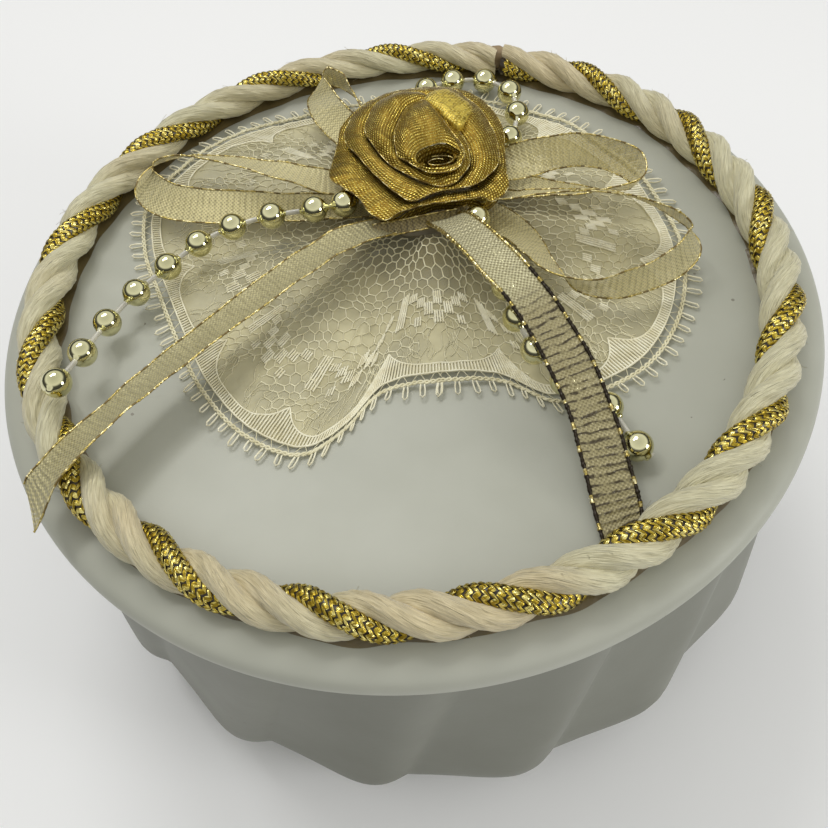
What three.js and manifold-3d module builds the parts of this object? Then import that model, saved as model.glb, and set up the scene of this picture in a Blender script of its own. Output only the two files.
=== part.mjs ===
// Vanity trinket box: a round porcelain box with a swirled base and a loose lid, whose top is trimmed
// with a twisted cord, gathered lace, a ribbon bow, fused bead strands and a folded ribbon rose.
// Units are millimetres, +Z is up, and the origin is the centre of the foot.
import * as THREE from 'three';
import { mergeVertices } from 'three/addons/utils/BufferGeometryUtils.js';
import Module from 'manifold-3d';

const wasm = await Module();
wasm.setup();

// ---- Driving dimensions --------------------------------------------------------------------------

const CORD_RING_R = 40;                     // centre circle of the twisted cord: the box is sized from it
const LID_TOP_Z = 45.5;                     // flat top of the lid above the table
const GAP = 0.3;                            // clearance between pieces that touch

const LID_R = 1.138 * CORD_RING_R;          // the lid's widest circle
const LID_THICKNESS = 3.1;
const LIP_DEPTH = 3;                        // the ring under the lid that keeps it centred
const WALL = 3.2;                           // porcelain wall at the thinnest line between two swirls
const FLOOR = 4;

const BASE_TOP_R = 1.055 * CORD_RING_R;     // valley radius of the swirled wall, at the rim
const BASE_FOOT_R = 1.12 * CORD_RING_R;     // and at the foot, before its corner is rounded
const BASE_TOP_Z = LID_TOP_Z - LID_THICKNESS - GAP;
const SWIRLS = 16;                          // convex gadroons round the wall
const SWIRL_DEPTH = 0.041 * CORD_RING_R;
const SWIRL_SKEW = 2.4;                     // above 1, each gadroon is fuller on its leading side
const SWIRL_LEAN = 0.241 / CORD_RING_R;     // turn per millimetre of height, in radians
const SWIRL_START = rad(-101.7);            // a valley's place at the foot
const FOOT_ROUND = 0.3 * CORD_RING_R;       // radius of the rounded foot

const CORD_R = 2.25;                        // outer radius of the laid cord
const STRAND_R = 0.85;
const STRAND_OFFSET = 1.22;                 // strand centre to cord centre
const CORD_TURNS = 15.86;                   // turns of lay in one full circle
const CORD_JOINT = rad(66.3);               // where the two ends of the cord butt together
const CORD_JOINT_GAP = rad(0.8);
const CORD_STRETCH = 1.017;                 // the ring is this much wider across than front to back

const RIBBON_W = 4.2;
const RIBBON_T = 0.35;
const BEAD_R = 1.62;                        // the beads sit about 4.7 apart
const THREAD_R = 0.35;

const KNOT = { x: 4, y: 11, w: 9.4, d: 6.6, low: 2.2, high: 3.9 };   // low and high are above the lid
const ROSE = { x: 4.2, y: 14.6, rx: 9.5, ry: 7.8, low: 4.9, high: 9.6 };

function rad(degrees) {
  return (degrees * Math.PI) / 180;
}

// ---- Making closed meshes ------------------------------------------------------------------------

// Joins rings of equal length into one closed body. Each end is closed by a fan of its ring, which is
// fine for a convex end, or by the pole given for it.
function skin(rings, { startPole, endPole } = {}) {
  const points = [];
  const triangles = [];
  const n = rings[0].length;
  rings.forEach((ring) => points.push(...ring));
  for (let i = 0; i + 1 < rings.length; i += 1) {
    for (let j = 0; j < n; j += 1) {
      const a = i * n + j;
      const b = i * n + ((j + 1) % n);
      triangles.push([a, b, b + n], [a, b + n, a + n]);
    }
  }
  const close = (first, pole, turned) => {
    if (pole) {
      points.push(pole);
      const p = points.length - 1;
      for (let j = 0; j < n; j += 1) {
        const edge = [first + ((j + 1) % n), first + j];
        triangles.push(turned ? [p, edge[1], edge[0]] : [p, edge[0], edge[1]]);
      }
    } else {
      for (let j = 1; j + 1 < n; j += 1) {
        const fan = [first, first + j + 1, first + j];
        triangles.push(turned ? [fan[0], fan[2], fan[1]] : fan);
      }
    }
  };
  close(0, startPole, false);
  close((rings.length - 1) * n, endPole, true);
  return outward(points, triangles);
}

// A geometry of these triangles, turned to face outwards.
function outward(points, triangles) {
  const volume = triangles.reduce(
    (sum, [a, b, c]) => sum + points[a].dot(points[b].clone().cross(points[c])),
    0,
  );
  const order = volume < 0 ? [0, 2, 1] : [0, 1, 2];
  const geometry = new THREE.BufferGeometry();
  geometry.setAttribute(
    'position',
    new THREE.Float32BufferAttribute(points.flatMap((p) => [p.x, p.y, p.z]), 3),
  );
  geometry.setIndex(triangles.flatMap((t) => order.map((k) => t[k])));
  return geometry;
}

function toSolid(geometry) {
  const bare = geometry.clone();
  bare.deleteAttribute('normal');
  bare.deleteAttribute('uv');
  const merged = mergeVertices(bare, 1e-4);
  return new wasm.Manifold(
    new wasm.Mesh({
      numProp: 3,
      vertProperties: new Float32Array(merged.attributes.position.array),
      triVerts: new Uint32Array(merged.index.array),
    }),
  );
}

function fromSolid(solid) {
  const mesh = solid.getMesh();
  const geometry = new THREE.BufferGeometry();
  geometry.setAttribute('position', new THREE.BufferAttribute(mesh.vertProperties, 3));
  geometry.setIndex(new THREE.BufferAttribute(mesh.triVerts, 1));
  return geometry;
}

const joined = (geometries) => fromSolid(
  geometries.map(toSolid).reduce((whole, solid) => whole.add(solid)),
);

// A ring of points round the Z axis; radius is a number or a function of the angle.
function circle(count, z, radius) {
  return Array.from({ length: count }, (_, j) => {
    const angle = (2 * Math.PI * j) / count;
    const r = typeof radius === 'function' ? radius(angle) : radius;
    return new THREE.Vector3(r * Math.cos(angle), r * Math.sin(angle), z);
  });
}

// ---- Porcelain -----------------------------------------------------------------------------------

// How far the swirled wall stands out at an angle and height: 0 in the valleys between gadroons.
function swirl(angle, z) {
  const turns = (SWIRLS * (angle - SWIRL_START - SWIRL_LEAN * z)) / (2 * Math.PI);
  const share = turns - Math.floor(turns);
  return SWIRL_DEPTH * Math.sin(Math.PI * share ** SWIRL_SKEW);
}

// The swirls fade out over the first millimetres of the foot, which is round and flat underneath.
function baseGeometry() {
  const columns = SWIRLS * 6;
  const valley = (z) => THREE.MathUtils.lerp(BASE_FOOT_R, BASE_TOP_R, z / BASE_TOP_Z);
  const rings = [];
  const cornerSteps = 4;
  for (let i = 0; i <= cornerSteps; i += 1) {
    const a = (Math.PI / 2) * (i / cornerSteps);
    const z = FOOT_ROUND * (1 - Math.cos(a));
    const inset = FOOT_ROUND * (1 - Math.sin(a));
    rings.push(circle(columns, z, (t) => valley(z) - inset + swirl(t, z) * Math.sin(a)));
  }
  const wallSteps = 5;
  for (let i = 1; i <= wallSteps; i += 1) {
    const z = THREE.MathUtils.lerp(FOOT_ROUND, BASE_TOP_Z, i / wallSteps);
    rings.push(circle(columns, z, (t) => valley(z) + swirl(t, z)));
  }
  const innerR = BASE_TOP_R - WALL;
  const innerRound = 6;
  rings.push(circle(columns, BASE_TOP_Z, innerR));
  rings.push(circle(columns, FLOOR + innerRound, innerR));
  for (const a of [rad(30), rad(60), rad(90)]) {
    const r = innerR - innerRound * (1 - Math.cos(a));
    rings.push(circle(columns, FLOOR + innerRound * (1 - Math.sin(a)), r));
  }
  return skin(rings, {
    startPole: new THREE.Vector3(0, 0, 0),
    endPole: new THREE.Vector3(0, 0, FLOOR),
  });
}

function lidGeometry() {
  const under = LID_TOP_Z - LID_THICKNESS;
  const lipOuter = BASE_TOP_R - WALL - 0.6;
  const lipInner = lipOuter - 3;
  const profile = new THREE.Path();
  profile.moveTo(0, under);
  profile.lineTo(lipInner, under);
  profile.lineTo(lipInner + 0.4, under - LIP_DEPTH);
  profile.lineTo(lipOuter - 0.4, under - LIP_DEPTH);
  profile.lineTo(lipOuter, under);
  profile.lineTo(LID_R - 1, under);
  profile.quadraticCurveTo(LID_R, under, LID_R, under + 1.2);
  profile.quadraticCurveTo(LID_R, LID_TOP_Z, LID_R - 3.6, LID_TOP_Z);
  profile.lineTo(0, LID_TOP_Z);
  return new THREE.LatheGeometry(profile.getPoints(3), 72).rotateX(Math.PI / 2);
}

// ---- Twisted cord --------------------------------------------------------------------------------

// One strand of the cord laid round the lid. The lay is a little tighter on one side of the ring.
function strandGeometry(phase) {
  const steps = 127;
  const sides = 5;
  const from = CORD_JOINT + CORD_JOINT_GAP / 2;
  const to = CORD_JOINT + 2 * Math.PI - CORD_JOINT_GAP / 2;
  const uneven = (angle) => rad(6.3) * Math.cos(angle + rad(130));
  const place = (angle, offset, turn) => {
    const out = new THREE.Vector3(Math.cos(angle), Math.sin(angle), 0);
    return out
      .clone()
      .multiplyScalar(CORD_RING_R + offset * Math.cos(turn))
      .multiply(new THREE.Vector3(CORD_STRETCH, 1, 1))
      .setZ(LID_TOP_Z + GAP / 2 + CORD_R - offset * Math.sin(turn));
  };
  const rings = Array.from({ length: steps + 1 }, (_, i) => {
    const angle = THREE.MathUtils.lerp(from, to, i / steps);
    const lay = (angle - uneven(angle) - rad(50.4)) * CORD_TURNS - Math.PI / 2;
    const turn = lay + phase;
    return Array.from({ length: sides }, (__, j) => {
      const about = turn + (2 * Math.PI * j) / sides;
      const centre = place(angle, STRAND_OFFSET, turn);
      const across = place(angle, STRAND_R, about).sub(place(angle, 0, 0));
      return centre.add(across);
    });
  });
  return skin(rings);
}

// ---- Ribbon --------------------------------------------------------------------------------------

// A ribbon along hand-placed stations [x, y, height above the lid, tilt in degrees]. At tilt 0 it lies
// flat; a positive tilt raises its left edge, seen along its run.
function ribbonGeometry(stations, steps) {
  const spine = new THREE.CatmullRomCurve3(
    stations.map(([x, y, up]) => new THREE.Vector3(x, y, LID_TOP_Z + up)),
    false,
    'centripetal',
  );
  const tilts = stations.map((s) => s[3]);
  const rings = Array.from({ length: steps + 1 }, (_, i) => {
    const t = i / steps;
    const centre = spine.getPoint(t);
    const along = spine.getTangent(t);
    const at = t * (tilts.length - 1);
    const k = Math.min(Math.floor(at), tilts.length - 2);
    const tilt = rad(THREE.MathUtils.lerp(tilts[k], tilts[k + 1], at - k));
    const left = new THREE.Vector3(-along.y, along.x, 0).normalize();
    const wide = left.multiplyScalar(Math.cos(tilt)).add(new THREE.Vector3(0, 0, Math.sin(tilt)));
    wide.addScaledVector(along, -wide.dot(along)).normalize();
    const thick = along.clone().cross(wide);
    return [[1, 1], [-1, 1], [-1, -1], [1, -1]].map(([a, b]) => centre
      .clone()
      .addScaledVector(wide, (a * RIBBON_W) / 2)
      .addScaledVector(thick, (b * RIBBON_T) / 2));
  });
  return skin(rings);
}

const RIBBONS = {
  bow_loop_left: [
    [-1.2, 13.1, 3.7, 0], [-4.6, 13.4, 3.9, 0], [-7.9, 13.6, 4.9, 8], [-11, 14.4, 5.8, 14],
    [-15.2, 16.3, 6, 25], [-19.9, 18.5, 5.9, 36], [-25.1, 20.4, 5.4, 42], [-28.3, 19.9, 4.8, 45],
    [-29.2, 17.9, 4.3, 45], [-26.8, 15, 3.9, 35], [-22.8, 13.7, 3.4, 25], [-17.1, 12.9, 3, 12],
    [-11.8, 12.2, 2.7, 5], [-6.5, 11.6, 2.6, 0], [-1.2, 11.2, 2.6, 0],
  ],
  bow_loop_right: [
    [9.3, 9, 3.7, 0], [11.8, 7.6, 4.9, -22], [13.5, 6.2, 6, -30], [16.1, 5.3, 6.8, -35],
    [20.4, 4.6, 7, -38], [24.6, 3.6, 6.8, -42], [28, 1.8, 6.3, -50], [30.8, -0.6, 5.6, -60],
    [31.5, -2.3, 5, -68], [30, -4.2, 4.5, -75], [26.5, -6, 4.2, -82], [23.1, -6.9, 4.2, -90],
    [19.9, -6.9, 4.2, -110], [17, -5.4, 4.4, -125], [15, -1.5, 4.2, -145], [13.4, 3.5, 3.2, -170],
    [9.3, 9, 2.6, -180],
  ],
  bow_loop_back_right: [
    [9.4, 13.6, 3.6, 0], [12.6, 13.8, 3.7, 5], [16, 13.8, 4.3, 50], [18.8, 13.9, 4.7, 74],
    [22.3, 13.8, 4.8, 80], [26.1, 12.2, 4.6, 80], [28.2, 9.8, 4.4, 76], [27.6, 7.9, 3.9, 60],
    [24, 8.4, 3, 40], [18, 10.4, 2.5, 15], [13, 12, 2.4, 0], [9.4, 12.9, 2.4, 0],
  ],
  bow_loop_back: [
    [3, 16.2, 3.7, 0], [-0.8, 18.6, 4, -15], [-3.7, 21.4, 4.6, -35], [-5.6, 24.6, 5, -48],
    [-6.8, 28, 5.2, -60], [-7.2, 31, 5, -68], [-5.8, 32.9, 4.8, -74], [-3.8, 31.4, 4.4, -76],
    [-2.6, 27.8, 4.2, -66], [-0.4, 23.6, 3.8, -40], [3, 19.6, 3, -15], [5.6, 16.2, 2.6, 0],
  ],
  bow_tail_left: [
    [0.2, 6.4, 3.6, 0], [-5.2, 3.9, 5.1, 0], [-10.8, -0.3, 5.8, 0], [-16.2, -4.4, 5.6, 0],
    [-21.5, -8.5, 5.3, 0], [-26.5, -12.8, 5.1, 0], [-30.3, -16.8, 5.2, 0], [-33.4, -20.4, 5.5, 0],
    [-35.7, -22.9, 5, 0], [-37.5, -25.3, 3.8, 0],
  ],
  bow_tail_right: [
    [5.6, 7, 3.3, 0], [5.9, 5.6, 4.4, 0], [6.6, 3, 6.4, 0], [7.8, -1.1, 8, 0], [10, -5.9, 8.5, 0],
    [11.9, -9.4, 8, 0], [13.7, -13.4, 6.9, 0], [15.3, -17.8, 5.5, 0], [16.4, -22.8, 4, 0],
    [16.9, -27.5, 2.5, 0], [17.2, -31, 1.3, 0], [17.3, -33.8, 0.8, 0],
  ],
};

// The ribbon's turns under the rose, tied into one flat knot.
function knotGeometry() {
  const levels = [[0, 0.86], [0.25, 1], [0.75, 1], [1, 0.86]];
  const rings = levels.map(([share, size]) => {
    const z = LID_TOP_Z + THREE.MathUtils.lerp(KNOT.low, KNOT.high, share);
    return circle(20, z, 1).map((p) => {
      const soft = (v) => Math.sign(v) * Math.abs(v) ** 0.5;
      return new THREE.Vector3(
        KNOT.x + (soft(p.x) * size * KNOT.w) / 2,
        KNOT.y + (soft(p.y) * size * KNOT.d) / 2,
        z,
      );
    });
  });
  return skin(rings);
}

function glueGeometry() {
  const radius = 5;
  const thickness = KNOT.low - 2 * GAP;
  const disc = new THREE.CylinderGeometry(0.9 * radius, radius, thickness, 24);
  return disc.rotateX(Math.PI / 2).translate(KNOT.x, KNOT.y, LID_TOP_Z + GAP + thickness / 2);
}

// ---- Lace ----------------------------------------------------------------------------------------

// The scalloped edge of the gathered lace on the lid.
const LACE_EDGE = [
  [2.6, -14.2], [9, -15], [14, -18.2], [19, -17.6], [24, -15.4], [29, -11.5], [32.3, -5.5],
  [33.6, 2], [32.2, 10], [29, 17], [23, 24], [16, 29], [8, 31.6], [-1, 32.4], [-10, 32], [-18, 30],
  [-25.5, 25.5], [-30, 18.6], [-30.2, 10.5], [-28, 3], [-25.5, -4.5], [-22.6, -11.5], [-18, -18],
  [-12.3, -21], [-8, -18.8], [-3.6, -14.6],
];
const LACE_T = 0.4;
const LACE_HOLE_R = 5.8;

// One gathered ring of lace, lowest at its scalloped edge and standing in small folds near the knot.
function laceGeometry() {
  const spokes = 78;
  const bands = 4;
  const folds = 13;
  const edge = new THREE.CatmullRomCurve3(
    LACE_EDGE.map(([x, y]) => new THREE.Vector3(x, y, 0)),
    true,
    'centripetal',
  );
  const height = (share, angle) => {
    const fold = 0.35 * Math.sin(folds * angle) * Math.sin(Math.PI * share);
    return 0.75 + 0.5 * (1 - share) + fold;
  };
  const sheet = (share, lift) => Array.from({ length: spokes }, (_, j) => {
    const out = edge.getPoint(j / spokes);
    const angle = Math.atan2(out.y - KNOT.y, out.x - KNOT.x);
    const x = KNOT.x + LACE_HOLE_R * Math.cos(angle);
    const y = KNOT.y + LACE_HOLE_R * Math.sin(angle);
    return new THREE.Vector3(
      THREE.MathUtils.lerp(x, out.x, share),
      THREE.MathUtils.lerp(y, out.y, share),
      LID_TOP_Z + height(share, angle) + lift,
    );
  });
  const shares = Array.from({ length: bands + 1 }, (_, i) => i / bands);
  const top = shares.map((share) => sheet(share, LACE_T / 2));
  const bottom = shares.map((share) => sheet(share, -LACE_T / 2)).reverse();
  return ringTube([...top, ...bottom]);
}

// Rings joined one to the next and the last to the first, as round a hole.
function ringTube(rings) {
  const n = rings[0].length;
  const count = rings.length;
  const triangles = [];
  for (let i = 0; i < count; i += 1) {
    for (let j = 0; j < n; j += 1) {
      const next = ((i + 1) % count) * n;
      const a = i * n + j;
      const b = i * n + ((j + 1) % n);
      triangles.push([a, b, next + ((j + 1) % n)], [a, next + ((j + 1) % n), next + j]);
    }
  }
  return outward(rings.flat(), triangles);
}

// ---- Bead strands --------------------------------------------------------------------------------

// Beads moulded on a thread, one at each [x, y, height above the lid].
function beadsGeometry(route) {
  const line = new THREE.CatmullRomCurve3(
    route.map(([x, y, up]) => new THREE.Vector3(x, y, LID_TOP_Z + up)),
    false,
    'centripetal',
  );
  const thread = new THREE.Shape().absarc(0, 0, THREAD_R, 0, 2 * Math.PI);
  const tube = new THREE.ExtrudeGeometry(thread, {
    steps: 2 * (route.length - 1),
    curveSegments: 3,
    extrudePath: line,
    bevelEnabled: false,
  });
  const beads = line.points.map(
    (at) => new THREE.SphereGeometry(BEAD_R, 9, 6).translate(at.x, at.y, at.z),
  );
  return joined([tube, ...beads]);
}

const BEAD_ROUTES = {
  bead_strand_left: [
    [-35.4, -12.8, 6.5], [-34, -7.7, 4.6], [-32.4, -2.5, 3], [-29.5, 1.4, 3], [-26, 4.4, 3.4],
    [-22.5, 7, 3.8], [-18.5, 8.4, 4.4], [-13.9, 8.9, 4.9], [-9, 9, 5], [-5.6, 9.5, 4.8],
  ],
  bead_strand_back: [
    [5.8, 27.3, 3.1], [6.1, 31.8, 3.2], [9.7, 33.5, 2.6], [13.8, 32.9, 2.6], [16.5, 29.2, 3.3],
    [16.7, 24.5, 3.4], [15.2, 20, 3.4],
  ],
  bead_strand_right: [
    [9.7, 3.1, 4.5], [10.3, -0.9, 3.6], [10.8, -4.6, 3.4], [11.3, -9, 3.3], [12.5, -13.4, 3.2],
    [14.8, -17.5, 3], [18.5, -20.8, 2.3], [20.4, -25.4, 1.95],
  ],
};

// ---- Rose ----------------------------------------------------------------------------------------

// The outer form of a folded ribbon rose: five overlapping corners round a dimpled middle.
function roseGeometry() {
  const corners = 5;
  const levels = [[0, 0.7], [0.12, 0.94], [0.5, 1], [0.85, 0.9], [1, 0.7], [0.96, 0.4]];
  const rings = levels.map(([share, size]) => {
    const z = LID_TOP_Z + THREE.MathUtils.lerp(ROSE.low, ROSE.high, share);
    return circle(40, z, (t) => size * (1 + 0.04 * Math.cos(corners * t))).map(
      (p) => new THREE.Vector3(ROSE.x + p.x * ROSE.rx, ROSE.y + p.y * ROSE.ry, z),
    );
  });
  return skin(rings, {
    startPole: new THREE.Vector3(ROSE.x, ROSE.y, LID_TOP_Z + ROSE.low),
    endPole: new THREE.Vector3(ROSE.x, ROSE.y, LID_TOP_Z + ROSE.high - 1.2),
  });
}

// ---- The assembly --------------------------------------------------------------------------------

const porcelain = new THREE.MeshStandardMaterial({ color: 0xb9bbb0, roughness: 0.5, metalness: 0 });
const creamSatin = new THREE.MeshStandardMaterial({ color: 0xe9d3b4, roughness: 0.5, metalness: 0 });
const goldBraid = new THREE.MeshStandardMaterial({ color: 0x9a6f1e, roughness: 0.35, metalness: 0.7 });
const laceThread = new THREE.MeshStandardMaterial({ color: 0xd9d2b4, roughness: 0.7, metalness: 0 });
const sheerRibbon = new THREE.MeshStandardMaterial({ color: 0xb9aa84, roughness: 0.45, metalness: 0.2 });
const goldLurex = new THREE.MeshStandardMaterial({ color: 0x9c7417, roughness: 0.35, metalness: 0.7 });
const champagne = new THREE.MeshStandardMaterial({ color: 0xc9c79a, roughness: 0.12, metalness: 1 });
const hotGlue = new THREE.MeshStandardMaterial({ color: 0xcfc7a8, roughness: 0.3, metalness: 0 });

const box = new THREE.Group();
const base = new THREE.Group();
const lid = new THREE.Group();
box.add(base, lid);

function place(group, name, geometry, material) {
  const mesh = new THREE.Mesh(geometry, material);
  mesh.name = name;
  group.add(mesh);
}

place(base, 'box_base', baseGeometry(), porcelain);
place(lid, 'lid', lidGeometry(), porcelain);
['cord_gold', 'cord_cream_a', 'cord_cream_b'].forEach((name, i) => {
  place(lid, name, strandGeometry((2 * Math.PI * i) / 3), i === 0 ? goldBraid : creamSatin);
});
place(lid, 'lace_ruffle', laceGeometry(), laceThread);
place(lid, 'glue_pad', glueGeometry(), hotGlue);
place(lid, 'bow_knot', knotGeometry(), sheerRibbon);
for (const [name, stations] of Object.entries(RIBBONS)) {
  place(lid, name, ribbonGeometry(stations, 2 * stations.length + 6), sheerRibbon);
}
for (const [name, route] of Object.entries(BEAD_ROUTES)) {
  place(lid, name, beadsGeometry(route), champagne);
}
place(lid, 'ribbon_rose', roseGeometry(), goldLurex);

export default box;
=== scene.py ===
import bpy
import numpy as np
from mathutils import Matrix, Vector


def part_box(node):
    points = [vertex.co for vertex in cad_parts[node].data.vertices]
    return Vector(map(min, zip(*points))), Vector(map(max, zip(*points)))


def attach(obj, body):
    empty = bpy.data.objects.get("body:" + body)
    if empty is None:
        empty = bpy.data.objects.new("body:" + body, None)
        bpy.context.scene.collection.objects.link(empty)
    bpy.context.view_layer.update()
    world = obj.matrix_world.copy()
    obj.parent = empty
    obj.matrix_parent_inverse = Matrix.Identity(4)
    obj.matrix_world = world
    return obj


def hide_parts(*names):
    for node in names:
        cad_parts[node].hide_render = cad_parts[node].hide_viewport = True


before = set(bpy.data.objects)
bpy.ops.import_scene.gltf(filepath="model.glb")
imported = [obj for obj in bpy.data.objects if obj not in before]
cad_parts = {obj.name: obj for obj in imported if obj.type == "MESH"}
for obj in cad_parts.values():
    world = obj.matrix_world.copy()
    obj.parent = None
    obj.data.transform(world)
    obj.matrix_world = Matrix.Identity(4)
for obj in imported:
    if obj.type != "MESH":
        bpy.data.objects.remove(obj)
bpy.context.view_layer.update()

MM = 0.001
TAU = 2 * np.pi
random = np.random.default_rng(7)


def corners(node):
    """A CAD node's lowest and highest corner, in millimetres."""
    return [np.array(corner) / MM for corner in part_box(node)]


# ---- Driving dimensions --------------------------------------------------------------------------

LID_UNDER_LIP, LID_HIGH = (corner[2] for corner in corners("lid"))
LID_R = corners("lid")[1][0]
BASE_TOP = corners("box_base")[1][2]
CORD_RING_R = LID_R / 1.138
GAP = 0.3
LID_THICKNESS = 3.1
WALL = 3.2
FLOOR = 4
RIM_ROUND = 0.5
INNER_ROUND = 6
LIP_PLAY = 0.6                               # between the lid's locating ring and the wall
LIP_WIDE = 3
POLE_R = 0.01                                # the small hole where a turned shell's mesh closes
BASE_TOP_R = 1.055 * CORD_RING_R
BASE_FOOT_R = 1.12 * CORD_RING_R
SWIRLS = 16
SWIRL_DEPTH = 0.041 * CORD_RING_R
SWIRL_SKEW = 2.4
SWIRL_LEAN = 0.241 / CORD_RING_R
SWIRL_START = np.radians(-101.7)
FOOT_ROUND = 0.3 * CORD_RING_R

CORD_R = 2.25
STRAND_R = 1.25
STRAND_OFFSET = 1.1
CORD_TURNS = 15.6
TWIST_START = np.radians(43.67)              # where the gold strand is on top
TWIST_UNEVEN = np.radians(5.55)
TWIST_UNEVEN_AT = np.radians(135)
CORD_JOINT = np.radians(66.3)
CORD_JOINT_GAP = np.radians(0.8)
CORD_STRETCH = np.array([1.004, 0.991])      # the ring is laid a little out of round
CORD_MIDDLE = np.array([0.1, -0.5])
CORD_SLIM = 0.14                             # how much thinner the cord is pulled at the back

RIBBON_W = 4.2
BEAD_R = 1.53
THREAD_R = 0.3
KNOT = np.array([4.0, 11.0])
LACE_HOLE_R = 5.8

# ---- Camera --------------------------------------------------------------------------------------

CAMERA_BACK = 1.807 * CORD_RING_R           # in front of the box's axis
CAMERA_RISE = 1.941 * CORD_RING_R           # above the middle of the cord
CAMERA_TILT = 0.968                         # down from the horizon, in radians
CAMERA_PAN = -0.009
CAMERA_ROLL = -0.128
FOCAL_SHARE = 949 / 828                     # focal length as a share of the sensor's width


def set_camera():
    """The camera of the picture, which looks down at the box from the front."""
    look = Vector((
        np.sin(CAMERA_PAN) * np.cos(CAMERA_TILT),
        np.cos(CAMERA_PAN) * np.cos(CAMERA_TILT),
        -np.sin(CAMERA_TILT),
    ))
    level = look.cross(Vector((0, 0, 1))).normalized()
    upright = level.cross(look)
    right = np.cos(CAMERA_ROLL) * level + np.sin(CAMERA_ROLL) * upright
    up = np.cos(CAMERA_ROLL) * upright - np.sin(CAMERA_ROLL) * level
    data = bpy.data.cameras.new("camera")
    data.sensor_width = 36
    data.lens = FOCAL_SHARE * data.sensor_width
    data.clip_start = 0.005
    camera = bpy.data.objects.new("camera", data)
    place = Matrix([right, up, -look]).transposed().to_4x4()
    place.translation = Vector((0, -CAMERA_BACK, LID_HIGH + GAP / 2 + CORD_R + CAMERA_RISE - 0.1)) * MM
    camera.matrix_world = place
    bpy.context.scene.collection.objects.link(camera)
    bpy.context.scene.camera = camera


set_camera()

# ---- Curves and meshes ---------------------------------------------------------------------------


def curve(points, per_span=12, closed=False):
    """A centripetal Catmull-Rom curve through points, with its points per span."""
    p = np.asarray(points, float)
    p = np.vstack([p[-1:], p, p[:2]]) if closed else np.vstack([2 * p[0] - p[1], p, 2 * p[-1] - p[-2]])
    t = np.linspace(0, 1, per_span, endpoint=False)[:, None]
    spans = []
    for p0, p1, p2, p3 in zip(p, p[1:], p[2:], p[3:]):
        a, b, c = (np.linalg.norm(v) ** 0.5 for v in (p1 - p0, p2 - p1, p3 - p2))
        start = ((p1 - p0) / a - (p2 - p0) / (a + b) + (p2 - p1) / b) * b
        end = ((p2 - p1) / b - (p3 - p1) / (b + c) + (p3 - p2) / c) * b
        spans.append(
            (2 * t**3 - 3 * t**2 + 1) * p1 + (t**3 - 2 * t**2 + t) * start
            + (3 * t**2 - 2 * t**3) * p2 + (t**3 - t**2) * end
        )
    if not closed:
        spans.append(p[-2:-1])
    return np.vstack(spans)


def lengths(line):
    """The distance run at each point of a line."""
    return np.concatenate([[0], np.cumsum(np.linalg.norm(np.diff(line, axis=0), axis=1))])


def even(line, step, *columns):
    """The line at even steps, and each column of values at those places."""
    run = lengths(line)
    at = np.linspace(0, run[-1], max(int(round(run[-1] / step)), 2) + 1)
    parts = [np.stack([np.interp(at, run, line[:, k]) for k in range(line.shape[1])], 1)]
    return parts + [np.interp(at, run, column) for column in columns]


def unit(vectors):
    return vectors / np.maximum(np.linalg.norm(vectors, axis=-1, keepdims=True), 1e-9)


def stacked(*parts):
    """Arrays of matching shapes as the last axis of one array."""
    return np.stack(np.broadcast_arrays(*parts), -1)


def make(name, points, faces, uv=None):
    """A mesh object of these points, in millimetres, and faces, all with the same number of corners."""
    points = np.asarray(points, float).reshape(-1, 3) * MM
    faces = np.asarray(faces, int)
    mesh = bpy.data.meshes.new(name)
    mesh.vertices.add(len(points))
    mesh.vertices.foreach_set("co", points.ravel())
    mesh.loops.add(faces.size)
    mesh.loops.foreach_set("vertex_index", faces.ravel())
    mesh.polygons.add(len(faces))
    mesh.polygons.foreach_set("loop_start", np.arange(len(faces)) * faces.shape[1])
    mesh.polygons.foreach_set("use_smooth", np.full(len(faces), True))
    if uv is not None:
        layer = mesh.uv_layers.new(name="weave")
        layer.data.foreach_set("uv", np.asarray(uv, float).reshape(-1, 2)[faces.ravel()].ravel())
    mesh.update(calc_edges=True)
    mesh.validate()
    piece = bpy.data.objects.new(name, mesh)
    bpy.context.scene.collection.objects.link(piece)
    return piece


def grid_faces(rows, columns, wrap_rows=False, wrap_columns=False):
    """The quads of a grid of points, given row by row."""
    i, j = np.meshgrid(
        np.arange(rows - (not wrap_rows)), np.arange(columns - (not wrap_columns)), indexing="ij",
    )
    i2, j2 = (i + 1) % rows, (j + 1) % columns
    quads = [i * columns + j, i * columns + j2, i2 * columns + j2, i2 * columns + j]
    return np.stack([q.ravel() for q in quads], 1)


def threads(lines, radius, sides=3, up=(0, 0, 1)):
    """Points and faces of one thin tube along each of many lines, an array of lines by points by 3."""
    lines = np.asarray(lines, float)
    count, steps, _ = lines.shape
    along = unit(np.gradient(lines, axis=1))
    side = np.cross(along, up)
    flat = np.linalg.norm(side, axis=-1, keepdims=True) < 1e-4
    side = unit(np.where(flat, np.cross(along, (1, 0, 0)), side))
    rise = np.cross(side, along)
    turn = TAU * (np.arange(sides) + 0.5) / sides
    radius = np.broadcast_to(np.asarray(radius, float), (count, steps))[..., None, None]
    ring = np.cos(turn)[:, None] * side[:, :, None] + np.sin(turn)[:, None] * rise[:, :, None]
    points = lines[:, :, None] + radius * ring
    one = grid_faces(steps, sides, wrap_columns=True)
    faces = (one[None] + (np.arange(count) * steps * sides)[:, None, None]).reshape(-1, 4)
    return points.reshape(-1, 3), faces


def merged(*parts):
    """Several (points, faces) as one."""
    starts = np.cumsum([0] + [len(points) for points, _ in parts[:-1]])
    points = np.vstack([points for points, _ in parts])
    faces = np.vstack([faces + start for (_, faces), start in zip(parts, starts)])
    return points, faces


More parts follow.
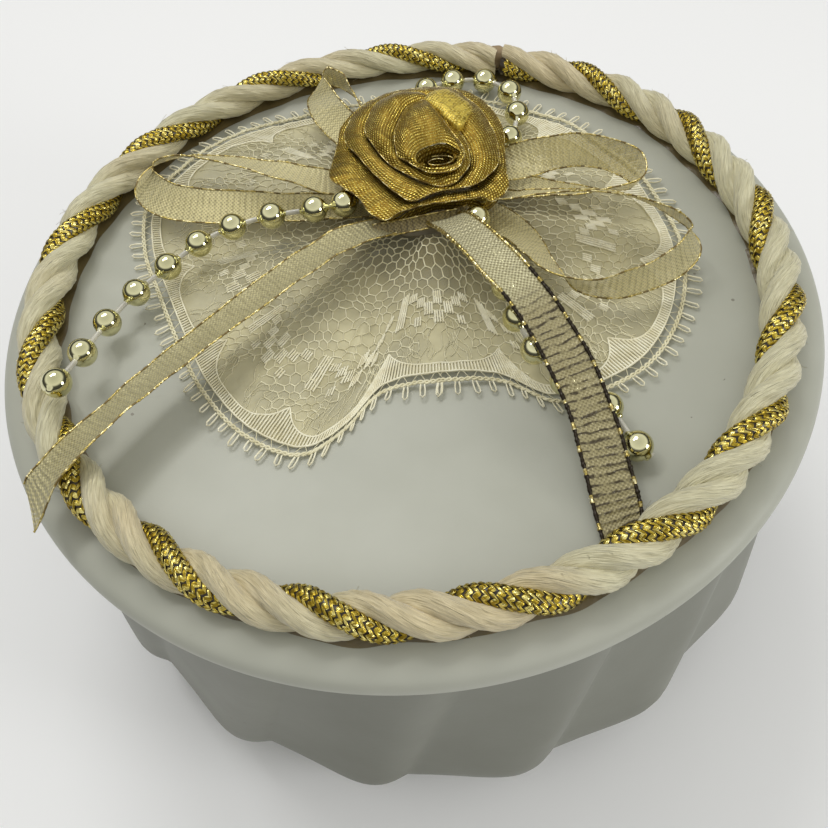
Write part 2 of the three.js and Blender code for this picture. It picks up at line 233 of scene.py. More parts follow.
def add_piece(name, points, faces, look, slot, *nodes, uv=None, body="lid"):
    """A mesh object with its look, the body it moves with and the CAD nodes it replaces; its slot is not
    used.
    """
    piece = make(name, points, faces, uv)
    piece.data.materials.append(LOOKS[look])
    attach(piece, body)
    if nodes:
        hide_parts(*nodes)
    return piece


def smooth_noise(x, y, seed, scale):
    """A smooth random-looking value from -1 to 1 at places in the plane."""
    pick = np.random.default_rng(seed)
    total = np.zeros(np.shape(x))
    for _ in range(6):
        angle, shift, size = pick.uniform(0, TAU), pick.uniform(0, TAU), pick.uniform(0.6, 1.7)
        total = total + np.sin((x * np.cos(angle) + y * np.sin(angle)) * size * TAU / scale + shift)
    return total / 3.5


# ---- Materials -----------------------------------------------------------------------------------

RIB_PITCH = 0.72
WEAVE_PITCH = 0.46
STITCH = 2.4                    # from one gold stitch of a metallic edge to the next
SPECK = (0.16, 0.14, 0.11)
SCRATCH = (0.25, 0.23, 0.19)
AGED_TINT = (1.0, 0.91, 0.85)
# painted shade colour of a ribbon's far part
TAUPE_SHADE = (0.27, 0.22, 0.09)
RIB_GAP = (0.045, 0.03, 0.008)
GLINT = (0.9, 0.86, 0.66)
# painted shade of the lace's gathers round the knot
GATHERED_SHADE = (0.36, 0.30, 0.13)


class Look:
    """A node material. Its methods add nodes and return the output of the last one."""

    def __init__(self, name, **sockets):
        self.material = bpy.data.materials.new(name)
        self.material.use_nodes = True
        self.tree = self.material.node_tree
        self.shader = self.tree.nodes["Principled BSDF"]
        for socket, value in sockets.items():
            self.set(socket.replace("_", " "), value)

    def set(self, socket, value):
        target = self.shader.inputs[socket]
        if isinstance(value, bpy.types.NodeSocket):
            self.tree.links.new(value, target)
        elif isinstance(value, tuple) and len(value) == 3:
            target.default_value = (*value, 1)
        else:
            target.default_value = value

    def node(self, kind, inputs=(), **settings):
        node = self.tree.nodes.new("ShaderNode" + kind)
        for key, value in settings.items():
            setattr(node, key, value)
        for key, value in dict(inputs).items():
            if isinstance(value, bpy.types.NodeSocket):
                self.tree.links.new(value, node.inputs[key])
            elif value is not None:
                node.inputs[key].default_value = value
        return node

    def math(self, operation, a, b=None, c=None):
        values = {k: v for k, v in enumerate((a, b, c)) if v is not None}
        return self.node("Math", values, operation=operation).outputs[0]

    def times(self, first, *others):
        for other in others:
            first = self.math("MULTIPLY", first, other)
        return first

    def share(self, value):
        """A value from -1 to 1 brought to 0 to 1."""
        return self.math("MULTIPLY_ADD", value, 0.5, 0.5)

    def place(self):
        return self.node("TexCoord").outputs["Object"]

    def axes(self, vector):
        return list(self.node("SeparateXYZ", {0: vector}).outputs)

    def uv(self):
        """Distances along and across a piece, in millimetres."""
        return self.axes(self.node("UVMap", uv_map="weave").outputs[0])[:2]

    def joined(self, x, y, z=0.0):
        return self.node("CombineXYZ", {0: x, 1: y, 2: z}).outputs[0]

    def scaled(self, x, x_scale, y, y_scale):
        return self.joined(self.times(x, x_scale), self.times(y, y_scale))

    def noise(self, vector, scale, detail=3.0, roughness=0.55):
        inputs = {"Vector": vector, "Scale": scale, "Detail": detail, "Roughness": roughness}
        return self.node("TexNoise", inputs).outputs["Fac"]

    def cells(self, vector, scale, output="Distance"):
        return self.node("TexVoronoi", {"Vector": vector, "Scale": scale}).outputs[output]

    def grains(self, vector, scale):
        """One random value in each cell."""
        return self.node("SeparateColor", {0: self.cells(vector, scale, "Color")}).outputs[0]

    def ramp(self, value, *stops):
        """stops are (place, colour or grey)."""
        node = self.node("ValToRGB", {0: value})
        ramp = node.color_ramp
        for index, (place, colour) in enumerate(stops):
            stop = ramp.elements[index] if index < 2 else ramp.elements.new(place)
            stop.position = place
            stop.color = (*colour, 1) if isinstance(colour, tuple) else (colour, colour, colour, 1)
        return node.outputs[0]

    def mix(self, share, a, b, blend="MIX"):
        node = self.node("Mix", data_type="RGBA", blend_type=blend)
        for socket, value in ((0, share), (6, a), (7, b)):
            if isinstance(value, bpy.types.NodeSocket):
                self.tree.links.new(value, node.inputs[socket])
            else:
                node.inputs[socket].default_value = (*value, 1) if isinstance(value, tuple) else value
        return node.outputs[2]

    def wave(self, value, pitch, shift=0.0):
        """A sine from -1 to 1 with this pitch, in the unit of value."""
        return self.math("SINE", self.math("MULTIPLY_ADD", value, TAU / pitch, shift))

    def bump(self, height, depth_mm, under=None):
        inputs = {"Height": height, "Distance": depth_mm * MM, "Normal": under}
        normal = self.node("Bump", inputs).outputs[0]
        self.set("Normal", normal)
        return normal


def porcelain_look(name, colour, shade):
    """Unglazed bisque: faint clouds, small dark specks, fine scratches and a slight grain."""
    look = Look(name, Roughness=0.45, Specular_IOR_Level=0.42)
    place = look.place()
    clouds = look.noise(place, 38, 4)
    body = look.ramp(clouds, (0.32, shade), (0.62, colour))
    specks = look.math("LESS_THAN", look.cells(place, 620), 0.13)
    chosen = look.math("GREATER_THAN", look.noise(place, 130, 2), 0.63)
    body = look.mix(look.times(specks, chosen, 0.65), body, SPECK)
    x, y, z = look.axes(place)
    streaks = look.noise(look.joined(look.times(x, 0.09), y, z), 1500, 2, 0.7)
    marks = look.ramp(streaks, (0.68, 0.0), (0.76, 1.0))
    patch = look.ramp(look.noise(place, 60, 2), (0.55, 0.0), (0.68, 1.0))
    body = look.mix(look.times(marks, patch, 0.16), body, SCRATCH)
    look.set("Base Color", body)
    look.set("Roughness", look.ramp(clouds, (0.3, 0.52), (0.7, 0.40)))
    grain = look.noise(place, 1900, 3)
    soft = look.bump(look.noise(place, 90, 2), 0.06)
    look.bump(grain, 0.012, soft)
    return look.material


def yarn_look(name, colour, shade):
    """Satin rayon yarn: fine fibres along the strand, with a bright sheen and darker gaps."""
    look = Look(name, Roughness=0.42, Specular_IOR_Level=0.45)
    look.set("Sheen Weight", 0.35)
    look.set("Sheen Roughness", 0.4)
    along, across = look.uv()
    skewed = look.math("MULTIPLY_ADD", along, 0.22, across)
    fine = look.noise(look.scaled(along, 0.35, skewed, 6.0), 1.4, 3)
    broad = look.noise(look.scaled(along, 0.3, skewed, 2.0), 0.9, 2)
    body = look.ramp(fine, (0.28, shade), (0.6, colour))
    body = look.mix(look.ramp(broad, (0.3, 0.35), (0.6, 0.0)), body, tuple(0.72 * c for c in shade))
    aged = look.ramp(look.noise(look.place(), 34, 2), (0.44, 0.0), (0.6, 1.0))
    look.set("Base Color", look.mix(aged, body, AGED_TINT, "MULTIPLY"))
    look.set("Roughness", look.ramp(fine, (0.3, 0.62), (0.65, 0.36)))
    coarse = look.bump(broad, 0.35)
    look.bump(fine, 0.16, coarse)
    return look.material


def braid_look(name):
    """Flat metallic yarn: gold with fine lengthwise lines, and grains that catch the light."""
    look = Look(name, Metallic=1.0, Roughness=0.3)
    along, across = look.uv()
    value = look.grains(look.joined(along, look.times(across, 1.6)), 3.2)
    gold = look.ramp(value, (0.0, (0.26, 0.17, 0.015)), (0.5, (0.62, 0.46, 0.06)), (1.0, (1.0, 0.88, 0.33)))
    look.set("Base Color", gold)
    look.set("Roughness", look.ramp(value, (0.0, 0.33), (1.0, 0.15)))
    lines = look.noise(look.scaled(along, 0.7, across, 9.0), 1.6, 2)
    tilt = look.bump(value, 0.12)
    look.bump(lines, 0.06, tilt)
    return look.material


def ribbon_look(name, bright, dark, lines=0.5, weave=0.5, alpha=0.85, dark_from=0, pitch=0.72, wander=0.55):
    """Sheer ribbed ribbon: a fine open weave crossed by ribs.

    lines is how dark the gaps between ribs are, dark_from how far along the ribbon they start and where
    painted shade, a blend to taupe, begins, pitch how far apart they are, and wander how unevenly they lie.
    """
    look = Look(name, Roughness=0.4, Specular_IOR_Level=0.5)
    look.set("Sheen Weight", 0.2)
    along, across = look.uv()
    wobble = look.noise(look.scaled(along, 0.8, across, 0.5), 1.0, 2)
    run = look.math("MULTIPLY_ADD", wobble, wander, along)
    ribs = look.share(look.wave(run, pitch))
    knots = look.share(look.times(look.wave(along, WEAVE_PITCH), look.wave(across, WEAVE_PITCH)))
    body = look.mix(look.times(knots, weave), bright, dark)
    gaps = look.ramp(ribs, (0.04, 1.0), (0.3, 0.0))
    patches = look.ramp(look.noise(look.joined(along, across), 0.9, 2), (0.38, 0.1), (0.52, 1.0))
    gaps = look.times(gaps, patches, lines)
    # painted shade: from dark_from on, the ribbon blends towards taupe and its rib gaps darken, for the shade
    # where it slopes away from the light
    if dark_from:
        start = 0.01 * dark_from
        shaded_part = look.ramp(look.times(along, 0.01), (start, 0.0), (start + 0.04, 1.0))
        gaps = look.times(gaps, shaded_part)
        body = look.mix(look.times(shaded_part, 0.7), body, TAUPE_SHADE)
    body = look.mix(gaps, body, RIB_GAP)
    flecks = look.cells(look.joined(along, look.times(across, 1.4)), 2.6)
    glint = look.ramp(flecks, (0.05, 0.8), (0.16, 0.0))
    look.set("Base Color", look.mix(look.times(glint, 0.5), body, GLINT))
    look.set("Metallic", look.ramp(knots, (0.3, 0.35), (0.7, 0.05)))
    holes = look.ramp(knots, (0.55, 0.0), (0.95, 1.0))
    solid = look.math("MULTIPLY_ADD", holes, -0.35, alpha)
    look.set("Alpha", look.math("MAXIMUM", solid, look.times(gaps, 1.4)))
    rough = look.bump(ribs, 0.07)
    look.bump(knots, -0.05, rough)
    return look.material


def edge_look(name, dark_share, dark_from=0, dark=(0.2, 0.14, 0.04)):
    """A metallic edge: gold stitches, with dark dashes between them from a distance along it."""
    look = Look(name, Roughness=0.28)
    along, across = look.uv()
    drift = look.noise(look.joined(along, 0.0), 0.35, 1)
    step = look.math("FRACT", look.math("MULTIPLY_ADD", along, 1 / STITCH, drift))
    dash = look.math("LESS_THAN", step, dark_share)
    if dark_from:
        dash = look.times(dash, look.math("GREATER_THAN", along, dark_from))
    grains = look.grains(look.joined(along, across), 4.5)
    gold = look.ramp(grains, (0.0, (0.34, 0.26, 0.06)), (0.6, (0.66, 0.53, 0.2)), (1.0, (0.98, 0.9, 0.55)))
    look.set("Base Color", look.mix(dash, gold, dark))
    look.set("Metallic", look.math("SUBTRACT", 1.0, look.times(dash, 0.6)))
    look.bump(grains, 0.1)
    return look.material


def lace_look(name, bright, dark):
    """The lace's thread."""
    look = Look(name, Roughness=0.6, Specular_IOR_Level=0.35)
    place = look.place()
    look.set("Base Color", look.ramp(look.noise(place, 900, 3), (0.3, dark), (0.65, bright)))
    look.set("Sheen Weight", 0.3)
    look.bump(look.noise(place, 3500, 2), 0.03)
    return look.material


def lace_film_look(name, bright, dark, alpha):
    """The lace's sheer ground, with painted shade round the knot, where it is gathered."""
    look = Look(name, Roughness=0.6, Specular_IOR_Level=0.35)
    look.set("Sheen Weight", 0.3)
    place = look.place()
    broad = look.noise(place, 110, 3)
    look.set("Alpha", look.ramp(broad, (0.3, alpha * 0.55), (0.7, min(alpha * 1.35, 1.0))))
    x, y, _ = look.axes(place)
    off_x = look.math("SUBTRACT", x, KNOT[0] * MM)
    off_y = look.math("SUBTRACT", y, KNOT[1] * MM)
    off_knot = look.math("SQRT", look.math("MULTIPLY_ADD", off_x, off_x, look.times(off_y, off_y)))
    # painted shade: the ground is blended to brown near the knot, for the shade in its gathers
    inside = look.ramp(look.times(off_knot, 25), (0.25, 0.85), (0.52, 0.0))
    look.set("Base Color", look.mix(inside, look.ramp(broad, (0.3, dark), (0.7, bright)), GATHERED_SHADE))
    look.bump(look.noise(place, 3500, 2), 0.03)
    return look.material


def lurex_look(name, metallic=0.85, shade=(0.2, 0.115, 0.012), low=(0.15, 0.09, 0.006)):
    """Satin ribbon with metal thread: a fine slanting twill that glitters."""
    look = Look(name, Metallic=metallic, Roughness=0.36)
    along, across = look.uv()
    slant = look.math("ADD", along, look.times(across, 0.8))
    twill = look.share(look.wave(slant, 0.36))
    threads_over = look.share(look.wave(across, 0.34))
    pattern = look.times(twill, threads_over)
    grains = look.grains(look.joined(along, across), 3.0)
    body = look.ramp(pattern, (0.0, low), (0.4, (0.56, 0.385, 0.034)), (0.85, (1.0, 0.87, 0.3)))
    body = look.mix(look.ramp(grains, (0.1, 0.75), (0.8, 0.0)), body, shade)
    look.set("Base Color", body)
    look.set("Roughness", look.ramp(grains, (0.0, 0.4), (1.0, 0.22)))
    tilt = look.bump(grains, 0.025)
    look.bump(pattern, 0.04, tilt)
    return look.material


def bead_look(name):
    """Metallized plastic: nearly a mirror, of uneven champagne colour."""
    look = Look(name, Metallic=1.0, Roughness=0.07)
    place = look.place()
    tint = look.noise(place, 260, 2)
    look.set("Base Color", look.ramp(tint, (0.35, (0.66, 0.63, 0.36)), (0.65, (0.80, 0.77, 0.48))))
    look.set("Roughness", look.ramp(look.noise(place, 900, 3), (0.4, 0.05), (0.75, 0.16)))
    look.bump(look.noise(place, 500, 2), 0.02)
    return look.material


def glue_look(name, colour):
    """Hot glue, and other smooth materials of one uneven colour."""
    look = Look(name, Roughness=0.3, Transmission_Weight=0.25)
    place = look.place()
    shade = tuple(0.6 * c for c in colour)
    look.set("Base Color", look.ramp(look.noise(place, 420, 3), (0.3, shade), (0.7, colour)))
    look.bump(look.noise(place, 500, 3), 0.2)
    return look.material


LOOKS = {
    "lid": porcelain_look("porcelain_lid", (0.465, 0.47, 0.40), (0.415, 0.42, 0.35)),
    # painted shade: the base is the lid's porcelain with a much darker colour, for the shade it stands in
    # under the lid
    "base": porcelain_look("porcelain_base_shaded", (0.22, 0.223, 0.183), (0.195, 0.198, 0.16)),
    "cream": yarn_look("cream_yarn", (0.80, 0.76, 0.52), (0.53, 0.48, 0.28)),
    "braid": braid_look("gold_braid"),
    # painted shade: a near-black core, so the gaps between the braid's stitches read as shaded
    "braid_core": glue_look("gold_braid_core", (0.035, 0.02, 0.004)),
    "edge": edge_look("ribbon_edge", 0.3),
    "edge_dark": edge_look("ribbon_edge_dark", 0.74, 18, (0.02, 0.012, 0.003)),
    # painted light: the loops' ribbon gets brighter colours than the tails, for light shining through the
    # sheer ribbon onto its shaded faces
    "ribbon": ribbon_look("ribbon_sheer_brightened", (0.80, 0.72, 0.38), (0.50, 0.42, 0.18), 0.3, 0.6),
    # painted shade: the knot is the same ribbon in dark colours, for the shade under the rose
    "knot": ribbon_look("ribbon_knot_shaded", (0.30, 0.24, 0.10), (0.12, 0.09, 0.03), 0.6, 0.6, 1.0),
    "tail_left": ribbon_look(
        "ribbon_tail_left", (0.56, 0.51, 0.27), (0.26, 0.21, 0.08), 0.26, 0.62, 1.0, pitch=0.62, wander=1.1,
    ),
    # painted shade on the right tail from 18 mm along, where it slopes away from the light
    "tail_right": ribbon_look(
        "ribbon_tail_right", (0.72, 0.68, 0.42), (0.16, 0.12, 0.03), 0.97, 0.85, 1.0,
        dark_from=18, pitch=0.86, wander=0.9,
    ),
    "lace": lace_look("lace_thread", (0.90, 0.85, 0.60), (0.66, 0.60, 0.36)),
    "lace_satin": lace_look("lace_satin", (0.97, 0.93, 0.72), (0.80, 0.74, 0.50)),
    "lace_film": lace_film_look("lace_film", (0.88, 0.81, 0.50), (0.74, 0.66, 0.38), 0.55),
    "rose": lurex_look("rose_lurex"),
    # painted highlight: the flap is the rose's lurex with brighter shade and low colours, for the light its
    # flat top catches
    "rose_flap": lurex_look("rose_flap", 0.62, (0.88, 0.68, 0.12), (0.36, 0.25, 0.025)),
    "rose_edge": edge_look("rose_edge", 0.45),
    "bead": bead_look("bead_champagne"),
    "thread": glue_look("bead_thread", (0.75, 0.72, 0.6)),
    "glue": glue_look("hot_glue", (0.66, 0.58, 0.42)),
    # dark brown of the thin strip along both sides of the cord, where it lies on the lid
    "contact_brown": glue_look("contact_strip", (0.20, 0.15, 0.06)),
    "brown_glue": glue_look("brown_glue", (0.52, 0.37, 0.2)),
}

# ---- Bead strands, which are cords of beads moulded on a thread ----------------------------------

# Each [x, y, height above the lid] is a bead, from the knot outwards.
BEAD_ROUTES = {
    "bead_strand_left": [
        [-5.6, 9.5, 4.8], [-9, 9, 5], [-13.9, 8.9, 4.9], [-18.5, 8.4, 4.4], [-22.5, 7, 3.8],
        [-26, 4.4, 3.4], [-29.5, 1.4, 3], [-32.4, -2.5, 3], [-34, -7.7, 4.6], [-35.4, -12.8, 6.5],
    ],
    "bead_strand_back": [
        [5.8, 26.9, 2.4], [6.0, 31.4, 2.3], [9.6, 33.1, 1.8], [13.7, 32.5, 1.8], [16.4, 28.8, 2.4],
        [16.6, 24.1, 2.7], [15.0, 19.6, 2.8],
    ],
    "bead_strand_right": [
        [9.0, 4.5, 4.8], [10.3, -0.9, 3.6], [10.8, -4.6, 3.4], [11.3, -9, 3.3], [12.5, -13.4, 3.2],
        [14.8, -17.5, 3], [18.5, -20.8, 2.3], [20.4, -25.4, 1.95],
    ],
}
# The thread's hidden run from the knot to the first bead, and its end past the last one.
THREAD_STARTS = {
    "bead_strand_left": [[-1.5, 10.4, 4.2]],
    "bead_strand_back": [[5.2, 22.4, 2.6]],
    "bead_strand_right": [[8.2, 6.8, 4.2]],
}
THREAD_ENDS = {
    "bead_strand_left": [],
    "bead_strand_back": [[12.3, 17.2, 2.9]],
    "bead_strand_right": [[21.6, -26.6, 1.7]],
}


def bead_points(at, axis):
    """Points and faces of one bead with a short neck at each side, on the thread at a point."""
    profile = [(-1.14, 0.01), (-1.13, 0.16), (-1.05, 0.24)]
    profile += [(-np.cos(a), np.sin(a)) for a in np.linspace(0.3, np.pi - 0.3, 15)]
    profile += [(1.05, 0.24), (1.13, 0.16), (1.14, 0.01)]
    side = unit(np.cross(axis, (0.1, 0, 1)))
    rise = np.cross(side, axis)
    turn = np.linspace(0, TAU, 28, endpoint=False)
    rings = [
        at + BEAD_R * (run * axis + out * (np.cos(turn)[:, None] * side + np.sin(turn)[:, None] * rise))
        for run, out in profile
    ]
    return np.vstack(rings), grid_faces(len(profile), len(turn), wrap_columns=True)


def bead_strand(name):
    """A strand of beads and its thread, from the knot outwards."""
    route = np.array(THREAD_STARTS[name] + BEAD_ROUTES[name] + THREAD_ENDS[name], float)
    route[:, 2] += LID_HIGH
    line = even(curve(route), 0.4)[0]
    thread = add_piece(name + ".thread", *threads(line[None], THREAD_R, sides=8), "thread", "beads", name)
    first = len(THREAD_STARTS[name])
    directions = unit(np.gradient(route, axis=0))
    each = [
        bead_points(route[k], directions[k])
        for k in range(first, first + len(BEAD_ROUTES[name]))
    ]
    beads = add_piece(name + ".beads", *merged(*each), "bead", "beads")


for strand in BEAD_ROUTES:
    bead_strand(strand)

# ---- Ribbons -------------------------------------------------------------------------------------

# Stations [x, y, height above the lid, tilt in degrees] along each ribbon; a tilt raises its left edge.
RIBBONS = {
    "bow_loop_left": [
        [-1.2, 13.1, 3.7, 0], [-4.6, 13.4, 3.9, 0], [-7.9, 13.6, 4.9, 8], [-11, 14.4, 5.8, 14],
        [-15.2, 16.3, 6, 25], [-19.9, 18.5, 5.9, 36], [-25.1, 20.4, 5.4, 42], [-28.3, 19.9, 4.8, 45],
        [-29.2, 17.9, 4.3, 45], [-26.8, 15, 3.9, 35], [-22.8, 13.7, 3.4, 25], [-17.1, 12.9, 3, 12],
        [-11.8, 12.2, 2.7, 5], [-6.5, 11.6, 2.6, 0], [-1.2, 11.2, 2.6, 0],
    ],
    "bow_loop_right": [
        [9.3, 9, 3.7, 0], [11.8, 7.6, 4.9, -22], [13.5, 6.2, 6, -30], [16.1, 5.3, 6.8, -35],
        [20.4, 4.6, 7, -38], [24.6, 3.6, 6.8, -42], [28, 1.8, 6.3, -50], [30.8, -0.6, 5.6, -60],
        [31.5, -2.3, 5, -68], [30, -4.2, 4.5, -75], [26.5, -6, 4.2, -82], [23.1, -6.9, 4.2, -90],
        [19.9, -6.9, 4.2, -110], [17, -5.4, 4.4, -125], [15, -1.5, 4.2, -145], [13.4, 3.5, 3.2, -170],
        [9.3, 9, 2.6, -180],
    ],
    "bow_loop_back_right": [
        [9.4, 13.6, 3.6, 0], [12.6, 13.8, 3.7, 5], [16, 13.8, 4.3, 50], [18.8, 13.9, 4.7, 74],
        [22.3, 13.8, 4.8, 80], [26.1, 12.2, 4.6, 80], [28.2, 9.8, 4.4, 76], [27.6, 7.9, 3.9, 60],
        [24, 8.4, 3, 40], [18, 10.4, 2.5, 15], [13, 12, 2.4, 0], [9.4, 12.9, 2.4, 0],
    ],
    "bow_loop_back": [
        [3, 16.2, 3.7, 0], [-0.8, 18.6, 4, -10], [-3.8, 21.4, 4.6, -22], [-6.0, 24.6, 5, -32],
        [-7.4, 28, 5.2, -42], [-7.9, 31, 5, -54], [-6.4, 33, 4.8, -66], [-4.1, 31.6, 4.4, -74],
        [-2.6, 27.8, 4.2, -66], [-0.4, 23.6, 3.8, -40], [3, 19.6, 3, -15], [5.6, 16.2, 2.6, 0],
    ],
    "bow_tail_left": [
        [0.2, 6.4, 3.6, 8], [-5.2, 3.9, 5.1, 11], [-10.8, -0.3, 5.8, 11], [-16.2, -4.4, 5.6, 14],
        [-21.5, -8.5, 5.3, 18], [-26.5, -12.8, 5.2, 20], [-30.3, -16.8, 5.5, 22], [-33.4, -20.4, 5.8, 21],
        [-35.7, -22.9, 5.2, 15], [-37.5, -25.3, 3.8, 10],
    ],
    "bow_tail_right": [
        [5.0, 7, 3.3, 0], [5.3, 5.6, 4.4, 0], [6.2, 3, 6.4, 0], [7.8, -1.1, 8, 0], [10, -5.9, 8.5, 0],
        [11.9, -9.4, 8, 0], [13.7, -13.4, 6.9, 0], [15.3, -17.8, 5.5, 0], [16.4, -22.8, 4, 0],
        [16.9, -27.5, 2.5, 0], [17.2, -31, 1.3, 0], [17.3, -33.8, 0.8, 0],
    ],
    "bow_knot": [
        [-2.6, 5.2, 4.1, 20], [0, 5.0, 4.5, 42], [2.6, 5.1, 4.7, 55], [5.2, 5.4, 4.7, 55],
        [7.6, 6.0, 4.4, 40], [9.6, 7.4, 4.0, 20],
    ],
}
TAILS = ("bow_tail_left", "bow_tail_right")
GATHER = 0.38                   # how much narrower a tail is where it leaves the knot
GATHER_RUN = 4.5                # and how far it runs to its full width


def ribbon_frame(stations, step):
    """A ribbon's centre line at even steps, and the directions across it and out of its face there."""
    stations = np.array(stations, float)
    line = curve(stations[:, :3] + (0, 0, LID_HIGH), 16)
    tilt = np.interp(np.linspace(0, len(stations) - 1, len(line)), np.arange(len(stations)), stations[:, 3])
    line, tilt = even(line, step, np.radians(tilt))
    along = unit(np.gradient(line, axis=0))
    left = unit(np.stack([-along[:, 1], along[:, 0], 0 * tilt], 1))
    wide = left * np.cos(tilt)[:, None] + np.outer(np.sin(tilt), (0, 0, 1))
    wide = unit(wide - along * (wide * along).sum(1, keepdims=True))
    return line, wide, np.cross(along, wide)


def ribbon(name, look, edge, cut=0.0, width=RIBBON_W, rim_r=0.095):
    """One ribbon with ribs, and its metallic edges; cut is how far its end is cut at a slant."""
    line, wide, out = ribbon_frame(RIBBONS[name], 0.12)
    run = lengths(line)
    across = np.linspace(-1, 1, 13)
    cup = 0.16 * (across**2 - 0.4)
    ribs = 0.03 * np.cos(TAU * run / RIB_PITCH)[:, None] * (1 - across**6)
    flutter = 0.1 * smooth_noise(run, 0 * run, len(name), 7)[:, None] * across
    half = width / 2 * (1 + 0.035 * smooth_noise(run, 0 * run, len(name) + 3, 9))
    if name in TAILS:
        open_share = np.sin(np.pi / 2 * np.clip(run / GATHER_RUN, 0, 1))
        half = half * (1 - GATHER * (1 - open_share))
    points = (
        line[:, None]
        + wide[:, None] * (half[:, None] * across)[..., None]
        + out[:, None] * (cup + ribs + flutter)[..., None]
    )
    trail = np.clip(1 - (run[-1] - run) / 4, 0, 1)[:, None] * cut * across
    points += unit(np.gradient(line, axis=0))[:, None] * trail[..., None]
    uv = stacked(run[:, None], across * width / 2)
    piece = add_piece(name + ".band", points, grid_faces(*points.shape[:2]), look, "ribbon", name, uv=uv)
    sides = 6
    rims = points[:, [0, -1]].transpose(1, 0, 2) + 0.03 * out
    swell = rim_r * (1 + 0.35 * np.cos(TAU * run / STITCH) ** 8 + 0.15 * np.cos(TAU * run / 0.5))
    starts = np.array([0, 0.37 * STITCH])[:, None, None]
    rim_uv = stacked(starts + run[None, :, None], np.arange(sides) * 0.15)
    rim = add_piece(name + ".edges", *threads(rims, swell[None], sides), edge, "ribbon", uv=rim_uv)


ribbon("bow_tail_left", "tail_left", "edge", cut=1.6)
ribbon("bow_tail_right", "tail_right", "edge_dark", cut=-0.6, rim_r=0.19)
# the loops take the brightened, painted-light copy of the ribbon
for loop in ("bow_loop_left", "bow_loop_right", "bow_loop_back_right", "bow_loop_back"):
    ribbon(loop, "ribbon", "edge")
# the knot takes the dark, painted-shade copy of the ribbon
ribbon("bow_knot", "knot", "edge", width=1.5)

# ---- Porcelain -----------------------------------------------------------------------------------


def swirl(angle, z):
    """How far a gadroon stands out of the valleys between them."""
    turns = SWIRLS * (angle - SWIRL_START - SWIRL_LEAN * z) / TAU
    share = turns - np.floor(turns)
    return SWIRL_DEPTH * np.sin(np.pi * share**SWIRL_SKEW)


def shell(name, rings, angle, body, node):
    """A turned shell; each ring is a radius, or one for each angle, and a height."""
    points = np.stack([stacked(r * np.cos(angle), r * np.sin(angle), z) for r, z in rings])
    faces = grid_faces(len(rings), len(angle), wrap_columns=True)
    add_piece(name, points, faces, body, "porcelain", node, body=body)


def base_shell():
    """The base, from the middle of its foot, up its gadroons, over the rim and down to its floor."""
    angle = np.linspace(0, TAU, SWIRLS * 24, endpoint=False)

    def outer(z):
        return BASE_FOOT_R + (BASE_TOP_R - BASE_FOOT_R) * z / BASE_TOP

    rings = [(POLE_R, 0.0)]
    for a in np.linspace(0, np.pi / 2, 14):
        z = FOOT_ROUND * (1 - np.cos(a))
        rings.append((outer(z) - FOOT_ROUND * (1 - np.sin(a)) + swirl(angle, z) * np.sin(a), z))
    for z in np.linspace(FOOT_ROUND, BASE_TOP - RIM_ROUND, 26)[1:]:
        rings.append((outer(z) + swirl(angle, z), z))
    for a in np.linspace(0.4, np.pi / 2, 4):
        z = BASE_TOP - RIM_ROUND * (1 - np.sin(a))
        rings.append((outer(z) + swirl(angle, z) - RIM_ROUND * (1 - np.cos(a)), z))
    inner = BASE_TOP_R - WALL
    for a in np.linspace(0, np.pi / 2, 4):
        rings.append((inner + RIM_ROUND * (1 - np.sin(a)), BASE_TOP - RIM_ROUND * (1 - np.cos(a))))
    for z in np.linspace(BASE_TOP - 2, FLOOR + INNER_ROUND, 6):
        rings.append((inner, z))
    for a in np.linspace(0, np.pi / 2, 10)[1:]:
        rings.append((inner - INNER_ROUND * (1 - np.cos(a)), FLOOR + INNER_ROUND * (1 - np.sin(a))))
    rings.append((POLE_R, FLOOR))
    # the base takes the darker, painted-shade copy of the lid's porcelain
    shell("base_porcelain", rings, angle, "base", "box_base")


def lid_shell():
    """The lid, from the middle of its underside, over its locating ring, out and back on top."""
    under = LID_HIGH - LID_THICKNESS
    lip_outer = BASE_TOP_R - WALL - LIP_PLAY
    lip_inner = lip_outer - LIP_WIDE
    rings = [
        (POLE_R, under), (lip_inner - 0.5, under), (lip_inner, under - 0.4), (lip_inner + 0.3, under - 2.6),
        (lip_inner + 0.8, LID_UNDER_LIP), (lip_outer - 0.8, LID_UNDER_LIP), (lip_outer - 0.3, under - 2.6),
        (lip_outer, under - 0.4), (lip_outer + 0.5, under), (LID_R - 1, under),
    ]
    for a in np.linspace(0.3, np.pi / 2, 6):
        rings.append((LID_R - 1 + np.sin(a), under + 1.2 * (1 - np.cos(a))))
    for t in np.linspace(0, 1, 14)[1:]:
        radius = LID_R * (1 - t**2) + (LID_R - 3.6) * t**2
        rings.append((radius, (1 - t) ** 2 * (under + 1.2) + 2 * t * (1 - t) * LID_HIGH + t**2 * LID_HIGH))
    rings += [(radius, LID_HIGH) for radius in (LID_R - 6, 32, 22, 12, POLE_R)]
    shell("lid_porcelain", rings, np.linspace(0, TAU, 288, endpoint=False), "lid", "lid")


base_shell()
lid_shell()

# ---- Twisted cord --------------------------------------------------------------------------------


def on_ring(angle, out, height):
    """A point at an angle round the cord's ring, out from its middle, and at a height."""
    return stacked(
        CORD_MIDDLE[0] + CORD_STRETCH[0] * out * np.cos(angle),
        CORD_MIDDLE[1] + CORD_STRETCH[1] * out * np.sin(angle),
        height,
    )


